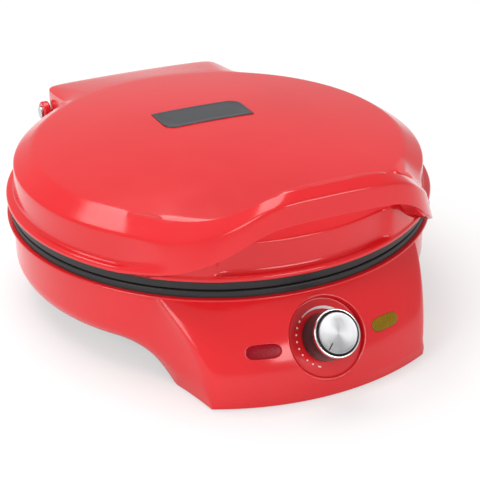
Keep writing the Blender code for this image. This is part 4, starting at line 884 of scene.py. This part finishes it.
def build_badge():
    """A thin plate that follows the dome, with two opposite round corners."""
    outline = []
    for i in range(13):
        turn = math.radians(90) * i / 12
        x = BADGE_HALF_LENGTH - BADGE_CORNER * (1 - math.cos(turn))
        outline.append((x, BADGE_REAR - BADGE_CORNER * (1 - math.sin(turn))))
    for i in range(1, 24):
        outline.append((mix(BADGE_HALF_LENGTH - BADGE_CORNER, -BADGE_HALF_LENGTH, i / 24), BADGE_REAR))
    outline.append((-BADGE_HALF_LENGTH, BADGE_REAR))
    for i in range(13):
        turn = math.radians(90) * i / 12
        x = -BADGE_HALF_LENGTH + BADGE_CORNER * (1 - math.cos(turn))
        outline.append((x, BADGE_FRONT + BADGE_CORNER * (1 - math.sin(turn))))
    for i in range(1, 24):
        outline.append((mix(BADGE_CORNER - BADGE_HALF_LENGTH, BADGE_HALF_LENGTH, i / 24), BADGE_FRONT))
    outline.append((BADGE_HALF_LENGTH, BADGE_FRONT))
    badge = Shape()
    middle_y = (BADGE_FRONT + BADGE_REAR) / 2
    rings = []
    for scale_share, lift in BADGE_RINGS:
        points = []
        for x, y in outline:
            inset_x = x * scale_share
            inset_y = middle_y + (y - middle_y) * (1 - (1 - scale_share) * 2)
            if scale_share < 0.9:
                inset_y = middle_y + (y - middle_y) * scale_share
            points.append(Vector((inset_x, inset_y, dome_height(inset_x, inset_y) + lift)))
        rings.append(badge.place(points))
    for one, other in zip(rings, rings[1:]):
        badge.faces.extend(ring_faces(one, other))
    badge.faces.extend([rings[0][::-1], rings[-1]])
    make_piece("dome_badge", badge, badge_dark, "lid", ["badge_plate"], 35)


# The base's moulding

def along_stops(stops, place):
    """Straight-line value between evenly spaced stops."""
    index = min(int(place), len(stops) - 2)
    return mix(stops[index], stops[index + 1], place - index)


def panel_radius(height):
    fall = (BASE_LIP_BOTTOM - height) / (BASE_LIP_BOTTOM - FOOT_HEIGHT)
    return mix(PANEL_TOP_RADIUS, PANEL_FOOT_RADIUS, 1 - max(1 - fall, 0) ** PANEL_POWER)


WALL_STOPS = (0, 0.16, 0.32, 0.48, 0.64, 0.80, 0.90)


def panel_row(row):
    """Radius and height of the control panel at a row from 0 to 7."""
    bevel = FOOT_HEIGHT + PANEL_BEVEL_HEIGHT
    if row <= 6:
        height = mix(BASE_LIP_BOTTOM, bevel, along_stops(WALL_STOPS, row) / WALL_STOPS[-1])
        return panel_radius(height), height
    share = row - 6
    foot_radius = PANEL_FOOT_RADIUS - PANEL_BEVEL_DEPTH
    return mix(panel_radius(bevel), foot_radius, share), mix(bevel, FOOT_HEIGHT, share)


def drum_row(row):
    """Radius and height of the round drum at the same row."""
    centre = DRUM_FILLET - DRUM_DEPTH
    if row <= 3:
        return DRUM_RADIUS, mix(BASE_LIP_BOTTOM, centre, row / 3)
    turn = math.radians(90) * (row - 3) / 4
    return DRUM_RADIUS - DRUM_FILLET * (1 - math.cos(turn)), centre - DRUM_FILLET * math.sin(turn)


def crease_angle(row):
    return mix(CREASE_FOOT, CREASE_TOP, (1 - row / 7) ** 3)


def housing_point(kind, share, row):
    """A point of the housing's skin on its right-hand half."""
    if kind == "panel":
        radius, height = panel_row(row)
        return polar(radius, crease_angle(row) * share, height)
    radius, height = drum_row(row)
    start = mix(SIDE_TOP, SIDE_FOOT, row / 7)
    if kind == "drum":
        return polar(radius, mix(start, math.pi, share), height)
    one = housing_point("panel", 1, row)
    other = polar(radius, start, height)
    rise = max(0, (share - SIDE_LIFT_SHARE) / (1 - SIDE_LIFT_SHARE))
    point = mix(one, other, share)
    run = (other - one).to_2d()
    inward = Vector((run.y, -run.x)).normalized()
    if inward.dot(point.to_2d()) > 0:
        inward = -inward
    hollow = SIDE_HOLLOW * 4 * share * (1 - share)
    point.x += inward.x * hollow
    point.y += inward.y * hollow
    point.z = mix(one.z, other.z, 1 - (1 - rise) ** 2.2)
    return point


ROWS = [0, 0.07] + [0.15 + 0.2096 * i for i in range(25)]
ROWS += [5.45, 5.7, 5.9, 6.0, 6.12, 6.3, 6.55, 6.75, 6.9, 7.0]
PANEL_STEPS = 30
SIDE_STEPS = 30
DRUM_HALF_STEPS = 75
DIAL_COLUMNS = 11
LENS_COLUMNS = (11, 21)


def housing_grid():
    """Columns of skin points round the housing, from the left crease on."""
    right = [("side", i / SIDE_STEPS) for i in range(1, SIDE_STEPS)]
    right += [("drum", i / DRUM_HALF_STEPS) for i in range(DRUM_HALF_STEPS)]
    specs = [("panel", i / PANEL_STEPS) for i in range(-PANEL_STEPS, PANEL_STEPS + 1)]
    columns = []
    for kind, share in specs:
        side = -1 if share < 0 else 1
        points = [housing_point(kind, abs(share), row) for row in ROWS]
        columns.append([Vector((p.x * side, p.y, p.z)) for p in points])
    rights = [[housing_point(kind, share, row) for row in ROWS] for kind, share in right]
    back = [[housing_point("drum", 1, row) for row in ROWS]]
    return columns + rights + back + [mirrored(c) for c in reversed(rights)]


def soften_creases(columns):
    """Rounds the two upright corners between the panel and the sides."""
    count = len(columns)
    reach = 4
    for _ in range(5):
        before = [[p.copy() for p in column] for column in columns]
        for crease in (0, 2 * PANEL_STEPS):
            for step in range(-reach, reach + 1):
                i = (crease + step) % count
                weight = 0.5 * smooth_share(1.2 - abs(step) / reach)
                near = before[(i - 1) % count]
                far = before[(i + 1) % count]
                for k, point in enumerate(columns[i]):
                    middle = (near[k] + far[k]) / 2
                    firm = 1 - smooth_share((ROWS[k] - 5.2) / 1.3)
                    point += (middle - before[i][k]) * weight * firm


def knob_frame():
    place = Matrix.Translation((0, -DIAL_REACH, -DIAL_DROP))
    return place @ Matrix.Rotation(math.radians(90) - KNOB_TILT, 4, "X")


def lens_frame(side):
    spot = polar(panel_radius(-LENS_DROP), side * LENS_ANGLE, -LENS_DROP)
    turn = Matrix.Rotation(side * LENS_ANGLE, 4, "Z")
    return Matrix.Translation(spot) @ turn @ Matrix.Rotation(math.radians(90) - LENS_TILT, 4, "X")


def inlet_frame():
    return Matrix.Translation((0, DRUM_RADIUS, -INLET_DROP)) @ Matrix.Rotation(math.radians(-90), 4, "X")


def skin_lift(place, x, y, radius_at):
    """How far along a frame's axis a line beside it meets the skin."""
    low = -0.03
    high = 0.03
    for _ in range(22):
        middle = (low + high) / 2
        spot = place @ Vector((x, y, middle))
        if math.hypot(spot.x, spot.y) < radius_at(spot.z):
            low = middle
        else:
            high = middle
    return low


def lens_reach(turn, gap=0.0):
    """How far the rounded window's outline lies from its middle."""
    across = abs(math.cos(turn)) / (LENS_HALF_LENGTH - gap)
    up = abs(math.sin(turn)) / (LENS_HALF_HEIGHT - gap)
    low = 0
    high = LENS_HALF_LENGTH - gap
    for _ in range(30):
        reach = (low + high) / 2
        if (across * reach) ** 5 + (up * reach) ** 1.8 < 1:
            low = reach
        else:
            high = reach
    return low


def hole_border(grid, columns, rows):
    """Vertex numbers round a rectangle of the grid, in order."""
    first, last = columns
    low, high = rows
    count = len(grid)
    border = [grid[i % count][low] for i in range(first, last)]
    border += [grid[last % count][j] for j in range(low, high)]
    border += [grid[i % count][high] for i in range(last, first, -1)]
    border += [grid[first % count][j] for j in range(high, low, -1)]
    return border


def fill_hole(shape, border, place, outline_reach, radius_at, section):
    """Fits rings on the skin between a border and an outline, then a section."""
    to_local = place.inverted()
    flats = []
    turns = []
    for index in border:
        spot = to_local @ shape.vertices[index]
        flats.append(Vector((spot.x, spot.y)))
        turns.append(math.atan2(spot.y, spot.x))
    ring = border
    for share in (0.3, 0.55, 0.78, 1):
        points = []
        for flat, turn in zip(flats, turns):
            edge = outline_reach(turn)
            spot = mix(flat, Vector((edge * math.cos(turn), edge * math.sin(turn))), share)
            points.append(place @ Vector((spot.x, spot.y, skin_lift(place, spot.x, spot.y, radius_at))))
        fresh = shape.place(points)
        shape.faces.extend(ring_faces(ring, fresh))
        ring = fresh
    for reach_of in section:
        points = []
        for turn in turns:
            reach, height = reach_of(turn)
            points.append(place @ Vector((reach * math.cos(turn), reach * math.sin(turn), height)))
        fresh = shape.place(points)
        shape.faces.extend(ring_faces(ring, fresh))
        ring = fresh


def dial_section(place):
    """The soft rim, wall and flat floor of the recess round the knob."""
    floor = DIAL_FLOOR
    lifts = {}

    def rim_height(reach, turn):
        key = (round(reach, 6), round(turn, 6))
        if key not in lifts:
            lift = skin_lift(place, reach * math.cos(turn), reach * math.sin(turn), panel_radius)
            crest = max(0, floor + DIAL_LIP - lift)
            lifts[key] = lift + crest * smooth_share((DIAL_RADIUS + WALL + 0.0004 - reach) / 0.0014)
        return lifts[key]

    def on_skin(reach):
        return lambda turn: (reach, rim_height(reach, turn))

    section = [on_skin(DIAL_RADIUS + offset) for offset in (0.0029, 0.0027, 0.0024, 0.0021, 0.0018)]
    soft = 0.0015

    def rounded(step):
        turn_in = math.radians(90) * step / 4

        def spot(turn):
            edge = rim_height(DIAL_RADIUS + soft, turn)
            fall = min(soft, (edge - floor) / 2)
            return DIAL_RADIUS + soft * (1 - math.sin(turn_in)), edge - fall * (1 - math.cos(turn_in))

        return spot

    section += [rounded(step) for step in range(5)]

    def wall_foot(step):
        turn_in = math.radians(90) * step / 3

        def spot(turn):
            edge = rim_height(DIAL_RADIUS + soft, turn)
            rise = min(0.0006, (edge - floor) / 3)
            return DIAL_RADIUS - 0.0006 * (1 - math.cos(turn_in)), floor + rise * (1 - math.sin(turn_in))

        return spot

    section += [wall_foot(step) for step in range(4)]
    for reach in (0.0272, 0.0255, 0.0230, 0.0200, 0.0160, 0.0100, 0.0036):
        section.append(lambda turn, reach=reach: (reach, floor))
    section.append(lambda turn: (0.0036, floor - 0.0050))
    return section


def lens_section(place):
    def on_skin(gap, drop):
        def spot(turn):
            reach = lens_reach(turn, gap)
            lift = skin_lift(place, reach * math.cos(turn), reach * math.sin(turn), panel_radius)
            return reach, lift - drop

        return spot

    return [on_skin(gap, drop) for gap, drop in WINDOW_WELL]


def build_housing():
    columns = housing_grid()
    soften_creases(columns)
    count = len(columns)
    housing = Shape()
    grid = [housing.place(column) for column in columns]
    middle = PANEL_STEPS
    heights = [panel_row(row)[1] for row in ROWS]
    dial_rows = (2, 26)
    lens_low = max(k for k, height in enumerate(heights) if height > -LENS_DROP + 0.0064)
    lens_high = min(k for k, height in enumerate(heights) if height < -LENS_DROP - 0.0064)
    holes = [((middle - DIAL_COLUMNS, middle + DIAL_COLUMNS), dial_rows)]
    for side in (-1, 1):
        span = sorted((middle + side * LENS_COLUMNS[0], middle + side * LENS_COLUMNS[1]))
        holes.append((tuple(span), (lens_low, lens_high)))
    back = 2 * PANEL_STEPS + SIDE_STEPS + DRUM_HALF_STEPS
    inlet_rows = [
        max(k for k, row in enumerate(ROWS) if drum_row(row)[1] > -INLET_DROP + 0.011),
        min(k for k, row in enumerate(ROWS) if drum_row(row)[1] < -INLET_DROP - 0.009),
    ]
    holes.append(((back - 3, back + 3), tuple(inlet_rows)))
    open_cells = set()
    for (first, last), (low, high) in holes:
        open_cells.update((i % count, k) for i in range(first, last) for k in range(low, high))
    for i in range(count):
        j = (i + 1) % count
        for k in range(len(ROWS) - 1):
            if (i, k) not in open_cells:
                housing.faces.append([grid[i][k], grid[j][k], grid[j][k + 1], grid[i][k + 1]])
    lip = [
        (DRUM_RADIUS - WALL, BASE_LIP_TOP),
        (LIP_RADIUS - 0.0009, BASE_LIP_TOP),
        (LIP_RADIUS - 0.0004, BASE_LIP_TOP - 0.0001),
        (LIP_RADIUS - 0.0001, BASE_LIP_TOP - 0.0004),
        (LIP_RADIUS, BASE_LIP_TOP - 0.0009),
        (LIP_RADIUS, BASE_LIP_BOTTOM + 0.0001),
    ]
    rings = [[] for _ in lip]
    for i in range(count):
        angle = math.atan2(columns[i][0].x, -columns[i][0].y)
        for ring, (radius, height) in zip(rings, lip):
            ring.extend(housing.place([polar(radius, angle, height)]))
    top_ring = [grid[i][0] for i in range(count)]
    for one, other in zip(rings, [*rings[1:], top_ring]):
        housing.faces.extend(ring_faces(one, other))
    bottom = [grid[i][-1] for i in range(count)]
    for rise, inset in ((0, 0.8), (0.0030, 1.0), (0.0090, 1.0)):
        ring = []
        for i in range(count):
            foot = columns[i][-1]
            flat = (columns[(i + 1) % count][-1] - columns[i - 1][-1]).to_2d().normalized()
            inward = Vector((-flat.y, flat.x))
            if inward.dot(foot.to_2d()) > 0:
                inward = -inward
            drum_share = smooth_share((foot.z + 0.0700) / 0.0120)
            depth = WALL * inset * (1 - drum_share * 0.3)
            ring.extend(housing.place([foot + Vector((inward.x * depth, inward.y * depth, rise))]))
        housing.faces.extend(ring_faces(bottom, ring))
        bottom = ring
    fill_hole(
        housing, hole_border(grid, *holes[0]), knob_frame(), lambda turn: DIAL_RADIUS + 0.0030,
        panel_radius, dial_section(knob_frame()),
    )
    for side, hole in ((-1, holes[1]), (1, holes[2])):
        place = lens_frame(side)
        fill_hole(
            housing, hole_border(grid, *hole), place, lambda turn: lens_reach(turn, -0.0006),
            panel_radius, lens_section(place),
        )
    inlet = [lambda turn: (INLET_RADIUS, -0.0003), lambda turn: (INLET_RADIUS, -0.0070)]
    fill_hole(
        housing, hole_border(grid, *holes[3]), inlet_frame(), lambda turn: INLET_RADIUS,
        lambda height: DRUM_RADIUS, inlet,
    )
    item = make_piece("base_moulding", housing, red_gloss, "base", ["base_housing"], 50)
    return item


def build_ears():
    root = math.sqrt(DRUM_RADIUS**2 - (TONGUE_HALF + EAR_THICKNESS) ** 2)
    base = root - 2 * WALL
    shoulder = HINGE_REACH - EAR_RADIUS - 2 * PIN_RADIUS
    outline = [(base, -DRUM_DEPTH + 2 * DRUM_FILLET), (root + EAR_RADIUS, -DRUM_DEPTH + 2 * DRUM_FILLET)]
    for i in range(33):
        turn = math.radians(-50 + 220 * i / 32)
        x = HINGE_REACH + EAR_RADIUS * math.cos(turn)
        outline.append((x, HINGE_HEIGHT + EAR_RADIUS * math.sin(turn)))
    outline += [(shoulder, BASE_LIP_TOP - FIT), (base, BASE_LIP_TOP - FIT)]
    for side, word in ((-1, "left"), (1, "right")):
        turn = Matrix(((0, 0, side, 0), (1, 0, 0, 0), (0, 1, 0, 0), (0, 0, 0, 1)))
        low = TONGUE_HALF + EAR_GAP
        ear = Shape().prism(outline, low, low + EAR_THICKNESS, turn)
        item = make_piece(f"hinge_ear_{word}", ear, red_gloss, "base", (), 35)
        round_edges(item, 0.0012)


def build_foot_wall():
    """The upright wall that closes the control block behind its foot."""
    half = housing_point("side", SIDE_LIFT_SHARE, 7).x - WALL / 2
    top = -DRUM_DEPTH + WALL + 0.0024
    wall = Shape().prism(
        [(-half, -WALL / 2), (half, -WALL / 2), (half, WALL / 2), (-half, WALL / 2)],
        FOOT_HEIGHT, top, Matrix.Translation((0, -FOOT_WALL_REACH, 0)),
    )
    item = make_piece("foot_wall", wall, red_gloss, "base", (), 35)
    round_edges(item, 0.0006, 2)


# Baking plates

def build_plate(name, node, body, side, depth, rim_height):
    """A cast plate with a soft rim, its cavity toward the seam."""
    floor = -depth
    soft = LIP_SOFT
    under = floor - PLATE_THICKNESS
    flat = PIZZA_RADIUS - PLATE_DRAFT - 0.004
    profile = [(0, floor), (0.05, floor), (0.10, floor), (flat, floor)]
    for i in range(1, 6):
        turn = math.radians(68) * i / 5
        rise = PLATE_SCOOP * (1 - math.cos(turn))
        profile.append((flat + PLATE_SCOOP * math.sin(turn), floor + rise))
    profile.append((PIZZA_RADIUS - 0.0005, -0.0012))
    profile += [(PIZZA_RADIUS, -0.0005), (PIZZA_RADIUS + 0.0008, 0)]
    profile.append((RIM_RADIUS - soft, 0))
    for i in range(1, 7):
        turn = math.radians(90) * i / 6
        profile.append((RIM_RADIUS - soft * (1 - math.sin(turn)), -soft * (1 - math.cos(turn))))
    profile += [(RIM_RADIUS, -rim_height), (COLLAR_RADIUS, -rim_height)]
    collar_inside = COLLAR_RADIUS - PLATE_THICKNESS
    profile += [(COLLAR_RADIUS, under - COLLAR_DEPTH), (collar_inside, under - COLLAR_DEPTH)]
    profile += [(collar_inside, under), (0, under)]
    lift = Matrix.Translation((0, 0, side * SEAM_GAP / 2))
    if side > 0:
        lift = lift @ Matrix.Rotation(math.pi, 4, "Y")
    plate = Shape().turn(profile, 224, lift)
    make_piece(name, plate, nonstick, body, [node], 32)


# The knob, its scale and the two windows

def build_knob():
    place = knob_frame()
    edge = KNOB_BASE + 0.0006
    seat = KNOB_TOP - 0.0030
    face = KNOB_TOP + CAP_RISE
    bore_end = KNOB_BASE + SHAFT_BORE_DEPTH
    under = face - CAP_THICKNESS
    barrel = [(0, bore_end), (SHAFT_BORE_RADIUS, bore_end), (SHAFT_BORE_RADIUS, KNOB_BASE)]
    barrel += [(KNOB_RADIUS - 0.0006, KNOB_BASE), (KNOB_RADIUS - 0.0002, KNOB_BASE + 0.0002)]
    barrel += [(KNOB_RADIUS, edge), (KNOB_TOP_RADIUS, seat - 0.0002)]
    barrel += [(KNOB_TOP_RADIUS - 0.0003, seat - 0.00005), (RING_INNER - 0.0002, seat - 0.00005)]
    barrel += [(RING_INNER - 0.0002, KNOB_TOP - 0.0008), (CAP_RADIUS + 0.0001, under), (0, under)]
    body = Shape().turn(barrel, 160)
    make_piece("knob_barrel", body, knob_black, "knob", ["knob_body"], 32, place)
    ring = [(RING_INNER, seat), (KNOB_TOP_RADIUS, seat), (KNOB_TOP_RADIUS + 0.0001, KNOB_TOP - 0.0006)]
    for i in range(9):
        turn = math.pi * i / 8
        middle = (KNOB_TOP_RADIUS + RING_INNER) / 2
        half = (KNOB_TOP_RADIUS - RING_INNER) / 2
        ring.append((middle + half * math.cos(turn), KNOB_TOP - 0.0002 + half * math.sin(turn)))
    ring += [(RING_INNER, KNOB_TOP - 0.0010), (RING_INNER, seat)]
    bezel = Shape().turn(ring, 160)
    make_piece("knob_bezel", bezel, chrome, "knob", ["knob_ring"], 32, place)
    cap = [(0, under), (CAP_RADIUS - 0.0001, under), (CAP_RADIUS, face - 0.0012)]
    cap.append((CAP_RADIUS, face - 0.0005))
    cap += [(CAP_RADIUS - 0.00015, face - 0.0002), (CAP_RADIUS - 0.0005, face)]
    cap += [(CAP_RADIUS * s, face - 0.0004 * (1 - s * s)) for s in (0.93, 0.8, 0.6, 0.4, 0.2)]
    cap.append((0, face - 0.0004))
    disc = Shape().turn(cap, 160)
    make_piece("knob_face", disc, spun, "knob", ["knob_cap"], 32, place)
    pointer = Shape()
    outline = []
    for i in range(17):
        turn = math.radians(-90 + 180 * i / 16)
        outline.append((0.0140 + 0.00045 * math.cos(turn), 0.00045 * math.sin(turn)))
    for i in range(17):
        turn = math.radians(90 + 180 * i / 16)
        outline.append((0.0088 + 0.00035 * math.cos(turn), 0.00035 * math.sin(turn)))
    pointer.prism(outline, face - 0.0012, face + 0.00008)
    turned_place = place @ Matrix.Rotation(math.radians(-136), 4, "Z")
    make_piece("knob_pointer", pointer, knob_black, "knob", (), 35, turned_place)


def build_scale():
    """Printed dots, two dashes and a widening arc round the knob."""
    place = knob_frame() @ Matrix.Translation((0, 0, DIAL_FLOOR))
    middle = SCALE_RADIUS
    marks = Shape()
    for i in range(7):
        turn = math.radians(230 - 13.3 * i)
        spot = Vector((middle * math.cos(turn), middle * math.sin(turn)))
        size = 0.00055 + 0.00003 * i
        outline = []
        for k in range(20):
            angle = math.tau * k / 20
            outline.append((spot.x + size * math.cos(angle), spot.y + size * math.sin(angle)))
        marks.prism(outline, -0.00002, 0.00005)
    for first, last, thin, thick in SCALE_STROKES:
        steps = max(4, int((first - last) / 2))
        inner = []
        outer = []
        for k in range(steps + 1):
            turn = math.radians(mix(first, last, k / steps))
            half = mix(thin, thick, smooth_share(2.2 * k / steps)) / 2
            inner.append(((middle - half) * math.cos(turn), (middle - half) * math.sin(turn)))
            outer.append(((middle + half) * math.cos(turn), (middle + half) * math.sin(turn)))
        low_inner = marks.place([(x, y, 0.00005) for x, y in inner])
        low_outer = marks.place([(x, y, 0.00005) for x, y in outer])
        marks.faces.extend(ladder(low_inner, low_outer))
    make_piece("dial_scale", marks, ink, "base", (), 35, place)


def build_lens(name, node, side, material):
    """A window that follows the panel, a little proud of it."""
    place = lens_frame(side)
    lens = Shape()
    steps = 72
    rings = []
    for gap, lift in WINDOW_RINGS:
        points = []
        for i in range(steps):
            turn = math.tau * i / steps
            reach = lens_reach(turn, gap)
            x = reach * math.cos(turn)
            y = reach * math.sin(turn)
            points.append(Vector((x, y, skin_lift(place, x, y, panel_radius) + lift)))
        rings.append(lens.place(points))
    for one, other in zip(rings, rings[1:]):
        lens.faces.extend(ring_faces(one, other))
    lens.faces.extend([rings[0][::-1], rings[-1]])
    make_piece(name, lens, material, "base", [node], 40, place)


build_lid()
build_grip()
build_badge()
build_housing()
build_ears()
build_foot_wall()
build_plate("lower_baking_plate", "lower_plate", "base", -1, LOWER_DEPTH, LOWER_RIM_HEIGHT)
build_plate("upper_baking_plate", "upper_plate", "lid", 1, UPPER_DEPTH, UPPER_RIM_HEIGHT)
build_knob()
build_scale()
build_lens("power_window", "power_lens", -1, ruby)
build_lens("ready_window", "ready_lens", 1, amber)

node_finishes = {
    black_grain: ["base_bottom_cover", "control_box_cover", "cord_inlet_bush"],
    steel: [
        "hinge_pin_left",
        "hinge_pin_right",
        "thermostat_spindle",
        "thermostat_bulb",
        "thermostat_capillary",
    ],
    sheet: ["lower_reflector", "upper_reflector", "thermostat_bracket"],
    heater: ["lower_element", "upper_element"],
    ceramic: [
        "terminal_block",
        "thermostat_body",
        "power_lamp",
        "ready_lamp",
        "lower_thermal_fuse",
        "upper_thermal_fuse",
    ],
    rubber: ["front_foot_left", "front_foot_right", "rear_foot_left", "rear_foot_right"],
}
node_finishes[steel] += [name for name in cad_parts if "screw" in name or name.endswith("_nut")]
for finish, names in node_finishes.items():
    for name in names:
        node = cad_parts[name]
        if node.data.materials:
            for index in range(len(node.data.materials)):
                node.data.materials[index] = finish
        else:
            node.data.materials.append(finish)


# Floor, light and camera

def build_floor():
    floor = Shape()
    floor.place([(-9, -9, 0), (9, -9, 0), (9, 9, 0), (-9, 9, 0)])
    floor.faces.append([0, 1, 2, 3])
    mesh = bpy.data.meshes.new("studio_floor")
    mesh.from_pydata([tuple(v) for v in floor.vertices], [], floor.faces)
    item = bpy.data.objects.new("studio_floor", mesh)
    item.location.z = -0.0002
    bpy.context.scene.collection.objects.link(item)
    paint = Paint("studio_paper")
    path = paint.node("ShaderNodeLightPath")
    seen = path.out("Is Camera Ray")
    glossy = path.out("Is Glossy Ray")
    paint.surface(Base_Color=(0.86, 0.86, 0.86, 1), Roughness=0.9, Specular_IOR_Level=0.1)
    painted_glow = paint.node("ShaderNodeEmission", {}, {0: (1, 1, 1, 1), 1: 1.0}).out(0)
    length = paint.node("ShaderNodeVectorMath", {"operation": "LENGTH"}, {0: paint.place}).out("Value")
    share = (0.50 + 0.50 * paint.ramp(length, 0.5, 1.6)) * seen + 0.20 * glossy
    paper = Wire(paint, paint.shader.outputs[0])
    mixed = paint.node("ShaderNodeMixShader", {}, {0: share, 1: paper, 2: painted_glow})
    output = [node for node in paint.tree.nodes if node.type == "OUTPUT_MATERIAL"][0]
    paint.tree.links.new(mixed.out(0).socket, output.inputs[0])
    mesh.materials.append(paint.material)


# Name, place, target, size in metres and power in watts
SOFTBOXES = (
    ("overhead_box", (-0.2, 0.5, 1.5), (0, 0, 0.05), (1.5, 1.0), 20),
    ("left_box", (-1.3, -0.5, 0.7), (0, 0, 0.06), (0.7, 0.9), 9),
    ("front_box", (0.35, -1.6, 0.55), (0, -0.1, 0.05), (0.9, 0.5), 9),
)


def softbox(name, place, target, size, power):
    light = bpy.data.lights.new(name, "AREA")
    light.shape = "RECTANGLE"
    light.size, light.size_y = size
    light.energy = power
    item = bpy.data.objects.new(name, light)
    bpy.context.scene.collection.objects.link(item)
    item.location = place
    aim = (Vector(target) - Vector(place)).normalized()
    item.rotation_euler = aim.to_track_quat("-Z", "Y").to_euler()
    return item


def build_light():
    for settings in SOFTBOXES:
        softbox(*settings)
    world = bpy.data.worlds.new("studio_air")
    bpy.context.scene.world = world
    world.use_nodes = True
    tree = world.node_tree
    back = tree.nodes["Background"]
    path = tree.nodes.new("ShaderNodeLightPath")
    either = tree.nodes.new("ShaderNodeMath")
    either.operation = "MAXIMUM"
    tree.links.new(path.outputs["Is Camera Ray"], either.inputs[0])
    tree.links.new(path.outputs["Is Transmission Ray"], either.inputs[1])
    strength = tree.nodes.new("ShaderNodeMapRange")
    strength.inputs[3].default_value = 0.54
    strength.inputs[4].default_value = 1.0
    tree.links.new(either.outputs[0], strength.inputs[0])
    tree.links.new(strength.outputs[0], back.inputs[1])
    back.inputs[0].default_value = (1, 1, 1, 1)


def build_camera():
    """The photograph's view, about the seam's middle."""
    around = math.radians(-24.5077)
    above = math.radians(27.5848)
    roll = math.radians(-0.2517)
    lean = math.cos(above)
    back = Vector((math.sin(around) * lean, -math.cos(around) * lean, math.sin(above)))
    level = Vector((math.cos(around), math.sin(around), 0))
    upright = back.cross(level)
    right = level * math.cos(roll) + upright * math.sin(roll)
    up = upright * math.cos(roll) - level * math.sin(roll)
    place = SEAM + right * 0.0170703 - up * 0.0410401 + back * 1.110395
    camera = bpy.data.cameras.new("photo_camera")
    item = bpy.data.objects.new("photo_camera", camera)
    bpy.context.scene.collection.objects.link(item)
    item.matrix_world = Matrix((
        (right.x, up.x, back.x, place.x),
        (right.y, up.y, back.y, place.y),
        (right.z, up.z, back.z, place.z),
        (0, 0, 0, 1),
    ))
    camera.sensor_width = 36
    camera.lens = 103.75
    camera.clip_start = 0.01
    camera.clip_end = 20
    bpy.context.scene.camera = item


build_floor()
build_light()
build_camera()
bpy.context.scene.view_settings.view_transform = "Standard"
